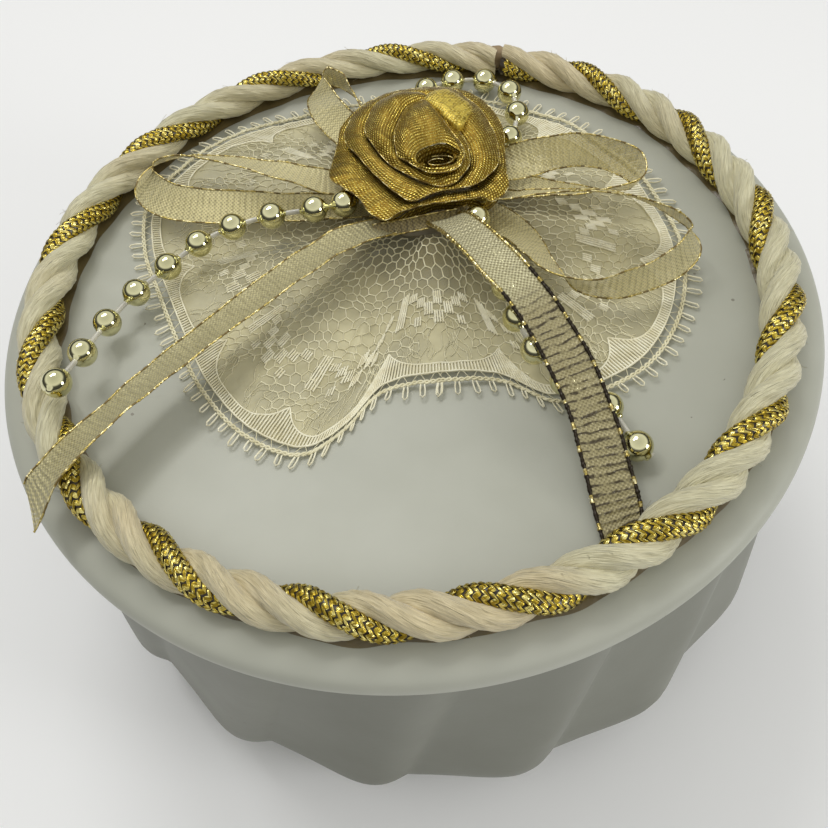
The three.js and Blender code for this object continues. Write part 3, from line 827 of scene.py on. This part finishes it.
def cord_point(angle, turn, radius=0.0, about=0.0):
    """A point at an angle round the ring, on a strand at its turn, off the strand's centre by radius."""
    slim = 1 - CORD_SLIM * np.clip(np.sin(angle), 0, 1) ** 2
    out = CORD_RING_R + slim * (STRAND_OFFSET * np.cos(turn) + radius * np.cos(about))
    rise = slim * (CORD_R - STRAND_OFFSET * np.sin(turn) - radius * np.sin(about))
    return on_ring(angle, out, LID_HIGH + GAP / 2 + rise)


def strand_turn(angle, phase):
    """How far a strand has turned round the cord, whose twist is a little looser on one side."""
    uneven = TWIST_UNEVEN * np.cos(angle + TWIST_UNEVEN_AT)
    return (angle - uneven - TWIST_START) * CORD_TURNS - np.pi / 2 + phase


def strand_angles(steps):
    return np.linspace(CORD_JOINT + CORD_JOINT_GAP / 2, CORD_JOINT + TAU - CORD_JOINT_GAP / 2, steps)


def cream_strand(name, phase, seed):
    """A strand of soft yarn, whose section is lobed by the plies in it."""
    angle = strand_angles(1500)[:, None]
    turn = strand_turn(angle, phase)
    run = lengths(cord_point(angle[:, 0], turn[:, 0]))[:, None]
    about = np.linspace(0, TAU, 25)[None]
    lay = about - run * 0.25
    lobes = 0.035 * np.cos(5 * lay + 2 * smooth_noise(run, 0 * run, seed, 14))
    lobes = lobes + 0.022 * np.cos(11 * lay + 3 * smooth_noise(run, 0 * run, seed + 1, 9))
    radius = STRAND_R * (1 + 0.03 * smooth_noise(run, 0 * run, seed + 2, 11)) + lobes
    points = cord_point(angle, turn, radius, turn + about)
    uv = stacked(run, about * STRAND_R)
    add_piece(name + ".yarn", points, grid_faces(*points.shape[:2]), "cream", "cord_cream", name, uv=uv)


def gold_strand(name, phase):
    """A braid of flat metal yarn: columns of stitches that lean opposite ways, round a dark core."""
    columns, row_pitch, lean, body = 14, 0.72, np.radians(40), 1.1
    half_long, half_wide, rise = 0.47, 0.2, 0.15
    angle = strand_angles(1400)
    run = lengths(cord_point(angle, strand_turn(angle, phase)))
    row, column = np.meshgrid(np.arange(run[-1] // row_pitch - 1) + 1, np.arange(columns), indexing="ij")
    row, column = row.reshape(-1, 1, 1), column.reshape(-1, 1, 1)
    way = 1 - 2 * (column % 2)
    along = np.linspace(-1, 1, 7)[:, None] * half_long
    across = np.array([-1, 0, 1])[None] * half_wide * np.sqrt(1 - (along / half_long * 0.9) ** 2)
    drift = random.uniform(-0.06, 0.06, row.shape)
    place = (row + drift) * row_pitch + along * np.cos(lean) - across * np.sin(lean)
    around = TAU * column / columns + way * (along * np.sin(lean) + across * np.cos(lean)) / body
    height = rise * (1 - (along / half_long) ** 2) - 0.08 * (across / half_wide) ** 2
    at = np.interp(place, run, angle)
    turn = strand_turn(at, phase)
    points = cord_point(at, turn, body + height, turn + around)
    stitch = np.arange(len(row))[:, None, None]
    faces = (grid_faces(*points.shape[1:3]) + stitch * across.size).reshape(-1, 4)
    uv = stacked(1.7 * stitch + 0.3 * along, across)
    add_piece(name + ".braid", points, faces, "braid", "cord_gold", name, uv=uv)
    # the near-black core paints the shade in the gaps between the stitches
    about = np.linspace(0, TAU, 19)[None]
    angle = angle[::2, None]
    core = cord_point(angle, strand_turn(angle, phase), body, about)
    add_piece(name + ".core", core, grid_faces(*core.shape[:2]), "braid_core", "cord_gold")


def flyaway_fibres():
    """Loose ends of fibre that stand out of the cream strands."""
    count = 170
    angle = CORD_JOINT + 0.1 + 0.96 * random.uniform(0, TAU, count)
    phase = TAU / 3 * random.integers(1, 3, count)
    about = strand_turn(angle, phase) + random.uniform(-1.9, 1.9, count)
    lean = random.uniform(-0.035, 0.035, count)
    reach = random.uniform(0.2, 0.9, count)
    steps = np.linspace(0, 1, 6)
    lines = np.stack([
        cord_point(
            angle + lean * s, strand_turn(angle + lean * s, phase),
            STRAND_R - 0.05 + reach * s**2 * (1.3 - 0.6 * s), about + 0.35 * s * np.sign(lean),
        )
        for s in steps
    ], 1)
    piece = add_piece("cord_fibres", *threads(lines, 0.022), "cream", "cord_cream")
    piece.data.uv_layers.new(name="weave")


gold_strand("cord_gold", 0)
cream_strand("cord_cream_a", TAU / 3, 11)
cream_strand("cord_cream_b", 2 * TAU / 3, 31)
flyaway_fibres()


def blob(name, centre, size, look, *nodes):
    """An uneven drop of glue."""
    turn = np.linspace(0, TAU, 32, endpoint=False)
    tall = np.linspace(-np.pi / 2, np.pi / 2, 17)[:, None]
    ball = stacked(np.cos(tall) * np.cos(turn), np.cos(tall) * np.sin(turn), np.sin(tall))
    uneven = 1 + 0.09 * smooth_noise(ball[..., 0], ball[..., 1] + ball[..., 2], 5, 1.2)
    points = np.array(centre) + ball * uneven[..., None] * np.array(size)
    points[..., 2] = np.maximum(points[..., 2], LID_HIGH + 0.02)
    add_piece(name, points, grid_faces(len(tall), len(turn), wrap_columns=True), look, "glue", *nodes)


blob("glue_under_bow", (KNOT[0], KNOT[1], LID_HIGH + 1), (5, 4.6, 1.2), "glue", "glue_pad")


def contact_strip():
    """A thin dark brown strip on both sides of the cord, where it lies on the lid."""
    angle = np.linspace(0, TAU, 481)[:, None]
    side = np.linspace(-1, 1, 9)[None]
    half = 1.62 + 0.3 * smooth_noise(40 * angle, 3 * np.sign(side), 61, 9)
    out = CORD_RING_R + half * side
    rise = 0.03 + 0.4 * (1 - side**2) + 0.03 * smooth_noise(40 * angle, 3 * side, 62, 3) * (1 - side**8)
    points = on_ring(angle, out, LID_HIGH + rise)
    add_piece("cord_contact_strip", points, grid_faces(*points.shape[:2]), "contact_brown", "glue")


contact_strip()
joint = cord_point(CORD_JOINT, 0.0)
blob("cord_joint_glue", joint + (-0.8, -0.5, 0.3), (1.75, 1.2, 1.6), "brown_glue")

# ---- Lace ----------------------------------------------------------------------------------------

LACE_EDGE = [
    [2.6, -14.2], [9, -15], [14, -18.2], [19, -17.6], [24, -15.4], [27.8, -11.2], [30.6, -5.4],
    [31.8, 2], [30.8, 9.8], [28.2, 16.6], [23, 24], [16, 29], [8, 31.6], [-1, 32.4], [-10, 32], [-18, 30],
    [-25.5, 25.5], [-30, 18.6], [-30.2, 10.5], [-28, 3], [-25.5, -4.5], [-22.6, -11.5], [-18, -18],
    [-12.3, -21], [-8, -18.8], [-3.6, -14.6],
]
SCALLOP = 15.2                  # length of one scallop of the lace's pattern, along its edge
SCALLOP_SHIFT = -0.7            # from a scallop's middle to the edge's first point
NET_PITCH = 1.2                 # across the flats of the net's six-sided holes
THREAD = 0.085                  # radius of the net's thread
BAND_IN = 1.3                   # from the lace's edge in to its satin band
LADDER_PITCH = 0.37             # between two stitches of that band
SATIN_PITCH = 0.4               # between two stitches of a block
WIND_PITCH = 1.3                # one turn of the two cords at the edge
TIE_PITCH = 1.9
PICOT_PITCH = 1.75

lace_edge = curve(LACE_EDGE, 50, closed=True)
lace_edge = np.vstack([lace_edge, lace_edge[:1]])
lace_run = lengths(lace_edge)
lace_angle = np.unwrap(np.arctan2(lace_edge[:, 1] - KNOT[1], lace_edge[:, 0] - KNOT[0]))
lace_reach = np.hypot(*(lace_edge - KNOT).T)
by_angle = np.argsort(lace_angle % TAU)
LACE_EDGE_LENGTH = lace_run[-1]
SCALLOPS = round(LACE_EDGE_LENGTH / SCALLOP)
SCALLOP_FITTED = LACE_EDGE_LENGTH / SCALLOPS


def reach_at(angle):
    """The distance from the knot to the lace's edge in a direction."""
    return np.interp(angle % TAU, lace_angle[by_angle] % TAU, lace_reach[by_angle], period=TAU)


def run_at(angle):
    """The distance along the lace's edge in a direction from the knot."""
    return np.interp(angle % TAU, lace_angle[by_angle] % TAU, lace_run[by_angle])


PLEAT = [(-4.5, -5.7), (-9.9, -17.2)]       # a fold between two lobes of the lace, at its front


def off_pleat(x, y):
    """The distance of a point from the pleat."""
    start, end = (np.array(p) for p in PLEAT)
    length = np.linalg.norm(end - start)
    along = (end - start) / length
    reach = np.clip((x - start[0]) * along[0] + (y - start[1]) * along[1], 0, length)
    return np.hypot(x - start[0] - reach * along[0], y - start[1] - reach * along[1])


def lace_height(x, y):
    """The lace's height above the lid: low at its edge, with folds that run in to the knot."""
    angle = np.arctan2(y - KNOT[1], x - KNOT[0])
    out = np.hypot(x - KNOT[0], y - KNOT[1])
    share = np.clip((out - LACE_HOLE_R) / (reach_at(angle) - LACE_HOLE_R), 0, 1.05)
    folds = 0.5 + 0.5 * np.sin(11 * angle + 1.3 * np.sin(2 * angle) + 0.4)
    rise = 0.28 + 1.5 * np.clip(1 - share, 0, 1) ** 1.7
    rise = rise + 0.75 * folds**1.5 * np.sin(np.pi * np.clip(share, 0, 1) ** 0.9) + 0.35 * folds * share
    pleat = 0.7 * np.exp(-((off_pleat(x, y) / 0.7) ** 2))
    hump = 1.5 * np.exp(-((x - 4.4) ** 2) / 14 - (y - 3.4) ** 2 / 9)
    return LID_HIGH + rise + hump + pleat + 0.07 * smooth_noise(x, y, 4, 3)


def on_lace(along, inwards, raised=0.0):
    """The point at a distance along the lace's edge, and inwards from it towards the knot."""
    along = np.asarray(along, float) % LACE_EDGE_LENGTH
    angle = np.interp(along, lace_run, lace_angle)
    out = np.interp(along, lace_run, lace_reach) - inwards
    x = KNOT[0] + out * np.cos(angle)
    y = KNOT[1] + out * np.sin(angle)
    return stacked(x, y, lace_height(x, y) + raised)


def scallop_share(along):
    """From -0.5 to 0.5 over each scallop, 0 in its middle."""
    return ((along + SCALLOP_SHIFT) / SCALLOP_FITTED + 0.5) % 1 - 0.5


def band_width(along):
    """The satin band is widest where two scallops meet."""
    return 1.05 + 3.0 * np.abs(2 * scallop_share(along)) ** 3.6


def hexagon_net():
    """The thin threads of the net, each an edge between two of its holes."""
    span = 70 / NET_PITCH
    i, j = np.meshgrid(np.arange(-span, span), np.arange(-span, span), indexing="ij")
    origin = np.stack([(i + j / 2) * NET_PITCH, j * NET_PITCH * 3**0.5 / 2], -1).reshape(-1, 2)
    near = np.linalg.norm(origin - (1, 7), axis=1) < 44
    origin = origin[near]
    other = origin + (0, NET_PITCH / 3**0.5)
    above = NET_PITCH * 3**0.5 / 2
    starts = np.vstack([origin, other, other])
    ends = np.vstack([other, origin + (NET_PITCH / 2, above), origin + (-NET_PITCH / 2, above)])

    def bend(p, seed):
        broad = smooth_noise(p[:, 0], p[:, 1], seed, 9)
        return 0.45 * broad + 0.16 * smooth_noise(p[:, 0], p[:, 1], seed + 1, 2.6)

    def warped(p):
        """The net drawn in towards the knot, and pulled a little out of true."""
        p = p + np.stack([bend(p, 21), bend(p, 23)], 1) - KNOT
        gathered = 1 - 0.4 * np.exp(-((p**2).sum(1, keepdims=True)) / 14**2)
        return KNOT + p * gathered

    starts, ends = warped(starts), warped(ends)
    middles = (starts + ends) / 2
    angle = np.arctan2(middles[:, 1] - KNOT[1], middles[:, 0] - KNOT[0])
    out = np.hypot(*(middles - KNOT).T)
    along = run_at(angle)
    inwards = reach_at(angle) - out
    window = (np.abs(scallop_share(along)) < 0.3) & (inwards < 7 - 40 * scallop_share(along) ** 2)
    keep = (out > LACE_HOLE_R + 0.3) & (inwards > BAND_IN + band_width(along)) & ~window
    starts, ends, middles = starts[keep], ends[keep], middles[keep]
    lines = np.stack([starts, middles, ends], 1)
    heights = lace_height(lines[..., 0], lines[..., 1])
    return threads(np.concatenate([lines, heights[..., None]], -1), THREAD)


def lace_bars(along, low, high, radius, points=4):
    """Threads that run inwards across the lace, one at each place along its edge."""
    share = np.linspace(0, 1, points)
    along = np.asarray(along, float)[:, None]
    low, high = (np.broadcast_to(v, along.shape[0])[:, None] for v in (low, high))
    return threads(on_lace(along + 0 * share, low + (high - low) * share, 0.03), radius)


def edge_thread(along, inwards, raised, radius, sides=4):
    """One thread all the way round the lace."""
    return threads(on_lace(along, inwards, raised)[None], radius, sides)


def satin_bands():
    """A band of satin stitch inside the edge, with a cord along each of its sides."""
    places = np.arange(0, LACE_EDGE_LENGTH, LADDER_PITCH)
    fine = np.arange(0, LACE_EDGE_LENGTH + 0.2, 0.15)
    ladder = lace_bars(places, BAND_IN, BAND_IN + band_width(places), 0.135)
    inner = edge_thread(fine, BAND_IN + band_width(fine), 0.05, 0.11)
    outer = edge_thread(fine, BAND_IN + 0 * fine, 0.05, 0.11)
    return merged(ladder, inner, outer)


def edge_cords():
    """The two cords that wind round each other along the lace's edge, and the fine ties in from them."""
    fine = np.arange(0, LACE_EDGE_LENGTH + 0.2, 0.12)
    turn = TAU * fine / WIND_PITCH
    cords = [
        edge_thread(fine, 0.25 + way * 0.16 * np.sin(turn), 0.05 + way * 0.05 * np.cos(turn), 0.13)
        for way in (1, -1)
    ]
    ties = edge_thread(fine, 0.8 + 0.5 * np.sin(TAU * fine / TIE_PITCH), 0.02, 0.05, sides=3)
    return merged(*cords, ties)


def picots():
    """Small loops of thread that hang from the edge."""
    places = np.arange(0, LACE_EDGE_LENGTH, PICOT_PITCH)[:, None]
    half = [(0.2, 0), (0.26, -0.6), (0.24, -1.25)]
    shape = np.array([(-x, y) for x, y in half] + [(0, -1.5)] + half[::-1])
    size = random.uniform(0.75, 1.15, len(places))[:, None]
    sway = random.uniform(-0.15, 0.15, len(places))[:, None]
    along = places + shape[:, 0] - sway * shape[:, 1]
    return threads(on_lace(along, shape[:, 1] * size, 0.02), 0.115)


# Blocks of satin stitch in each scallop: (place along from its middle, low and high end inwards, width).
FLOWER = [
    (0, 7.4, 9.0, 1.5), (0, 9.9, 11.6, 1.5), (-1.7, 8.6, 10.2, 1.4), (1.7, 8.6, 10.2, 1.4),
    (-3.2, 9.8, 11.0, 1.2), (3.2, 9.8, 11.0, 1.2), (-4.8, 10.9, 12.0, 1.2), (4.8, 10.9, 12.0, 1.2),
    (-3.4, 7.4, 8.5, 1.0), (3.4, 7.4, 8.5, 1.0), (-6.4, 8.0, 12.6, 1.5),
]


def satin_motifs():
    """The flower of satin stitch in each scallop."""
    parts = []
    for scallop in range(SCALLOPS):
        middle = scallop * SCALLOP_FITTED - SCALLOP_SHIFT
        for shift, low, high, width in FLOWER:
            places = middle + shift + np.arange(-width / 2, width / 2 + 0.01, SATIN_PITCH)
            parts.append(lace_bars(places, low, high, 0.13))
    return merged(*parts)


def loose_threads():
    """Fine wandering threads in the open windows of the pattern."""
    count = 16 * SCALLOPS
    middle = (np.arange(count) % SCALLOPS) * SCALLOP_FITTED - SCALLOP_SHIFT
    start = middle + random.uniform(-5.5, 5.5, count)
    end = start + random.uniform(-2.5, 2.5, count)
    share = np.linspace(0, 1, 9)
    along = start[:, None] + (end - start)[:, None] * share
    along = along + 0.3 * np.sin(share * 9 + start[:, None] * 3)
    low = random.uniform(2, 3.5, count)[:, None]
    high = random.uniform(5.5, 8, count)[:, None]
    inwards = low + (high - low) * share + 0.25 * np.cos(share * 11 + start[:, None])
    return threads(on_lace(along, inwards, 0.02), 0.045)


def lace_film():
    """The sheer ground of the lace, as one sheet."""
    angle = np.linspace(0, TAU, 360, endpoint=False)
    share = np.linspace(0, 1, 40)[:, None]
    out = LACE_HOLE_R + (reach_at(angle) - 1.2 - LACE_HOLE_R) * share
    x = KNOT[0] + out * np.cos(angle)
    y = KNOT[1] + out * np.sin(angle)
    points = np.stack([x, y, lace_height(x, y) - 0.05], -1)
    faces = grid_faces(len(share), len(angle), wrap_columns=True)
    return add_piece("lace_ground", points, faces, "lace_film", "lace", "lace_ruffle")


for part, look, build in (
    ("lace_net", "lace", hexagon_net),
    ("lace_satin_bands", "lace_satin", satin_bands),
    ("lace_edge_cords", "lace", edge_cords),
    ("lace_picots", "lace_satin", picots),
    ("lace_motifs", "lace_satin", satin_motifs),
    ("lace_loose_threads", "lace", loose_threads),
):
    add_piece(part, *build(), look, "lace")
lace_film()

# ---- Rose ----------------------------------------------------------------------------------------

# The free edge of each petal, from the inside outwards: [x, y, height above the lid].
ROSE_EDGES = [
    [[1.1, 12.5, 9.5], [1.4, 11.0, 9.4], [2.4, 10.1, 9.3], [3.3, 9.1, 9.2], [4.5, 8.3, 9.2], [6.2, 8.1, 9.2],
     [7.4, 8.4, 9.3], [8.2, 9.5, 9.5], [8.2, 11.2, 9.6], [7.7, 12.6, 9.8], [7.0, 14.3, 10], [6.3, 16.8, 10.1],
     [5.1, 19.2, 10.1], [3.1, 18.6, 10], [1.9, 16.5, 9.9], [1.2, 14.4, 9.7]],
    [[-2.1, 16.5, 8.9], [-1.5, 14.6, 8.8], [-0.4, 12.5, 8.2], [1.0, 10.6, 8.1], [2.5, 9.2, 8.0],
     [4.1, 8.2, 7.8], [5.5, 7.4, 7.8], [6.7, 7.4, 8.0], [7.8, 8.3, 8.1], [8.8, 9.7, 8.3], [8.9, 11.6, 9],
     [8.4, 13.8, 9.2], [7.7, 15.3, 9.4], [7.0, 17.1, 9.6], [5.5, 20.3, 9.8], [3.6, 21.4, 9.8],
     [1.6, 21.7, 9.6], [-0.2, 20.8, 9.4], [-1.5, 19.0, 9.1]],
    [[-4.6, 17.1, 7.7], [-3.3, 14.0, 7.8], [-2.0, 11.5, 7.6], [-0.6, 9.2, 7.5], [0.8, 7.3, 7.4],
     [2.1, 6.2, 7.3], [3.7, 6.6, 7.4], [5.5, 7.0, 7.5], [7.6, 7.1, 7.5], [9.2, 7.3, 7.5], [10.7, 8.4, 7.6],
     [12.0, 9.8, 7.8], [12.4, 13.1, 7.9], [12.0, 15.9, 8.3], [11.1, 18.3, 8.7], [9.9, 20.1, 9.0],
     [8.7, 21.6, 9.2], [7.0, 22.3, 9.3], [4.9, 22.7, 9.2], [2.7, 22.9, 9.1], [0.4, 22.8, 8.8],
     [-2.1, 21.8, 8.3], [-3.9, 19.8, 8.0]],
    [[-6.7, 12.0, 6.7], [-5.2, 10.2, 6.7], [-3.6, 8.4, 6.5], [-2.6, 6.0, 6.5], [-0.9, 4.8, 6.3],
     [0.5, 5.4, 6.5], [2.1, 5.9, 6.5], [4.1, 6.1, 6.7], [6.3, 6.0, 6.7], [8.2, 6.0, 6.7], [9.6, 6.1, 6.7],
     [10.9, 5.5, 6.5], [12.8, 7.3, 6.5], [12.9, 9.5, 6.8], [13.3, 13.2, 6.6], [13.6, 16.3, 6.9],
     [13.0, 19.0, 7.3], [11.6, 21.2, 7.8], [9.7, 22.7, 8.2], [7.3, 23.5, 8.4], [4.9, 23.8, 8.4],
     [2.6, 23.8, 8.3], [-0.1, 23.6, 8.0], [-2.7, 22.5, 7.5], [-4.9, 20.4, 7.0], [-5.6, 17.5, 6.6],
     [-6.3, 14.9, 6.4]],
]
ROSE_HEART = np.array([5.5, 10.1])          # the hollow in the middle
HOLLOW = (2.45, 1.45)                       # its half sizes across and front to back
HEART_HIGH = 9.55                           # its rim above the lid
PETAL_FULLNESS = (1.0, 1.1, 1.0, 0.6)
CURL_R = 0.17                               # of a petal's free edge
ROSE_FLAP = [
    [5.0, 19.3, 10.0], [6.3, 20.8, 9.9], [7.8, 21.0, 9.7], [9.2, 19.6, 9.6], [10.3, 17.6, 9.4],
    [9.6, 15.9, 9.5], [8.3, 14.4, 9.7], [7.3, 15.2, 9.9], [6.2, 17.2, 10.1],
]


def round_the_heart(edge, angle):
    """A closed edge's points at these angles round the heart."""
    line = curve(np.array(edge, float) + (0, 0, LID_HIGH), 16, closed=True)
    at = np.arctan2(line[:, 1] - ROSE_HEART[1], line[:, 0] - ROSE_HEART[0]) % TAU
    order = np.argsort(at)
    return np.stack([np.interp(angle, at[order], line[order, k], period=TAU) for k in range(3)], 1)


def level(points):
    """The points without their heights."""
    return points * (1, 1, 0)


def sheet(rows, along, across):
    """Points, faces and lengths of a ribbon's surface, given row by row."""
    return rows.reshape(-1, 3), grid_faces(*rows.shape[:2]), stacked(along, across).reshape(-1, 2)


def rim(line, run, radius, sides=5):
    """Points, faces and lengths of a gold edge along a line."""
    points, faces = threads(line[None], radius, sides)
    return points, faces, stacked(run[:, None], np.arange(sides) * 0.12).reshape(-1, 2)


def rose_piece(name, look, parts, *nodes):
    """One piece of several (points, faces, lengths)."""
    points, faces = merged(*[part[:2] for part in parts])
    uv = np.vstack([part[2] for part in parts])
    add_piece("ribbon_rose." + name, points, faces, look, "rose", *nodes, uv=uv)


def petal(inner, edge, seed, fullness):
    """A petal's rows, from under the petal inside it out to its free edge, which curls down and under.

    Its tip, the row along the free edge, is given too.
    """
    outward = unit(level(edge - inner) + 1e-6)
    run = lengths(edge)
    width = np.linalg.norm((edge - inner)[:, :2], axis=1)
    rows = []
    for share in np.linspace(0, 1, 16):
        lift = fullness * np.minimum(width, 5) * np.sin(np.pi * share**1.2) * 0.2
        crease = 0.09 * share * smooth_noise(run, 2 * share + 0 * run, seed, 2.8)
        crease = crease + 0.22 * share * (1 - share) * smooth_noise(run, 0 * run, seed + 1, 7)
        rows.append(inner + (edge - inner) * share + np.outer(lift + crease, (0, 0, 1)))
    tip = rows[-1]
    for angle in np.pi * np.linspace(0, 1, 6)[1:]:
        rows.append(tip + outward * CURL_R * np.sin(angle) + (0, 0, -CURL_R * (1 - np.cos(angle))))
    for back in (0.4, 0.9, 1.5):
        rows.append(tip - outward * back + (0, 0, -0.4 - 0.3 * back))
    return np.stack(rows), tip


def rose_petals(angle, heart):
    """The rose's surfaces round the hollow at its heart, and the gold edges of its petals."""
    lip = heart + stacked(HOLLOW[0] * np.cos(angle), HOLLOW[1] * np.sin(angle), 0)
    lip[:, 2] += 0.45 * np.sin(angle) + 0.12 * smooth_noise(angle, 0 * angle, 3, 1.5)
    walls = np.stack([
        lip + level(heart - lip) * share + (0, 0, -drop)
        for share, drop in ((1.0, 3.2), (0.7, 3.1), (0.3, 2.6), (0.12, 1.4), (0.03, 0.5), (0.0, 0.12))
    ])
    surfaces = [sheet(walls, angle * 2, np.arange(len(walls))[:, None] * 0.6)]
    rims = []
    inner = lip
    for k, (edge, fullness) in enumerate(zip(ROSE_EDGES, PETAL_FULLNESS)):
        edge = round_the_heart(edge, angle)
        rows, tip = petal(inner, edge, 40 + k, fullness)
        steps = np.linalg.norm(np.diff(rows, axis=0), axis=2)
        across = np.concatenate([np.zeros((1, len(edge))), np.cumsum(steps, 0)])
        run = lengths(edge)
        surfaces.append(sheet(rows, run[None], across))
        outward = unit(level(edge - heart))
        rims.append(rim(tip + outward * 0.15 + (0, 0, -0.1), run, 0.055))
        inner = edge - outward * 1.1 + (0, 0, -1.35)
    skirt = np.stack([inner + (0, 0, 0.3), inner + (0, 0, -1.0), level(inner) + (0, 0, LID_HIGH + 3.6)])
    skirt[2] += level(heart - skirt[2]) * 0.25
    surfaces.append(sheet(skirt, angle * 9, np.arange(3)[:, None]))
    return surfaces, rims


def rose_flap():
    """The ribbon's end, folded over the petals at the back."""
    outline = curve(np.array(ROSE_FLAP, float) + (0, 0, LID_HIGH), 10, closed=True)
    outline = np.vstack([outline, outline[:1]])
    middle = outline[:-1].mean(0)
    rows = [
        middle + (outline - middle) * share + (0, 0, 0.15 + 0.55 * (1 - share**4))
        for share in np.linspace(0.02, 1, 12)
    ]
    rows.append(middle + (outline - middle) * 0.97 + (0, 0, -0.9))
    rows = np.stack(rows)
    along = rows[..., 0] * 0.6 + rows[..., 1] * 0.8
    across = rows[..., 1] * 0.6 - rows[..., 0] * 0.8
    return sheet(rows, along, across)


def rose():
    """The ribbon rose: its petals, the flap of its end, the roll in its hollow and its gold edges."""
    angle = np.linspace(0, TAU, 721)
    heart = np.append(ROSE_HEART, LID_HIGH + HEART_HIGH)
    surfaces, rims = rose_petals(angle, heart)
    turn = np.linspace(0.3, 2.6 * np.pi, 90)
    roll = heart + stacked(
        (0.45 + 0.14 * turn) * np.cos(turn) * 1.25, (0.3 + 0.07 * turn) * np.sin(turn), -0.75,
    )
    drops = np.array([0, 0.5, 1.6])
    strip = np.stack([roll + (0, 0, -drop) for drop in drops])
    rims.append(rim(roll, lengths(roll), 0.07))
    # the flap takes the brighter, painted-highlight copy of the lurex
    rose_piece("flap", "rose_flap", [rose_flap()])
    rose_piece("petals", "rose", surfaces, "ribbon_rose")
    rose_piece("roll", "rose", [sheet(strip, lengths(roll)[None], drops[:, None])])
    rose_piece("edges", "rose_edge", rims)


rose()

# ---- Floor, light and sky ------------------------------------------------------------------------


def stage():
    """The pale floor and three lamps."""
    floor_look = Look("floor_pale", Roughness=0.7)
    clouds = floor_look.noise(floor_look.place(), 3, 2)
    floor_look.set("Base Color", floor_look.ramp(clouds, (0.3, 0.92), (0.7, 0.94)))
    far = 3000
    ground = make("floor", [(-far, -far, 0), (far, -far, 0), (far, far, 0), (-far, far, 0)], [[0, 1, 2, 3]])
    ground.data.materials.append(floor_look.material)
    for name, place, size, power in (
        ("softbox_back", (-0.05, 0.19, 0.41), 0.16, 0.34),
        ("softbox_top_left", (-0.16, 0.12, 0.40), 0.07, 0.2),
        ("softbox_low_right", (0.30, -0.16, 0.16), 0.12, 0.34),
    ):
        lamp = bpy.data.lights.new(name, "AREA")
        lamp.shape = "DISK"
        lamp.size = size
        lamp.energy = power
        light = bpy.data.objects.new(name, lamp)
        light.location = place
        aim = Vector((0, 0, 0.04)) - light.location
        light.rotation_euler = aim.to_track_quat("-Z", "Y").to_euler()
        bpy.context.scene.collection.objects.link(light)


def sky():
    """Studio light: bright from above and behind the box, dim from the side of the camera."""
    world = bpy.data.worlds.new("studio")
    bpy.context.scene.world = world
    world.use_nodes = True
    nodes, links = world.node_tree.nodes, world.node_tree.links
    direction = nodes.new("ShaderNodeTexCoord").outputs["Generated"]
    facing = nodes.new("ShaderNodeVectorMath")
    facing.operation = "DOT_PRODUCT"
    links.new(direction, facing.inputs[0])
    facing.inputs[1].default_value = (0.0, 0.05, 0.99)
    ramp = nodes.new("ShaderNodeValToRGB")
    links.new(facing.outputs["Value"], ramp.inputs[0])
    for index, (place, value) in enumerate(((0.0, 0.05), (0.34, 0.08), (0.54, 0.85), (1.0, 0.62))):
        stop = ramp.color_ramp.elements[index] if index < 2 else ramp.color_ramp.elements.new(place)
        stop.position = place
        stop.color = (value, value, 0.97 * value, 1)
    links.new(ramp.outputs[0], nodes["Background"].inputs[0])


stage()
sky()
bpy.context.scene.view_settings.view_transform = "Standard"
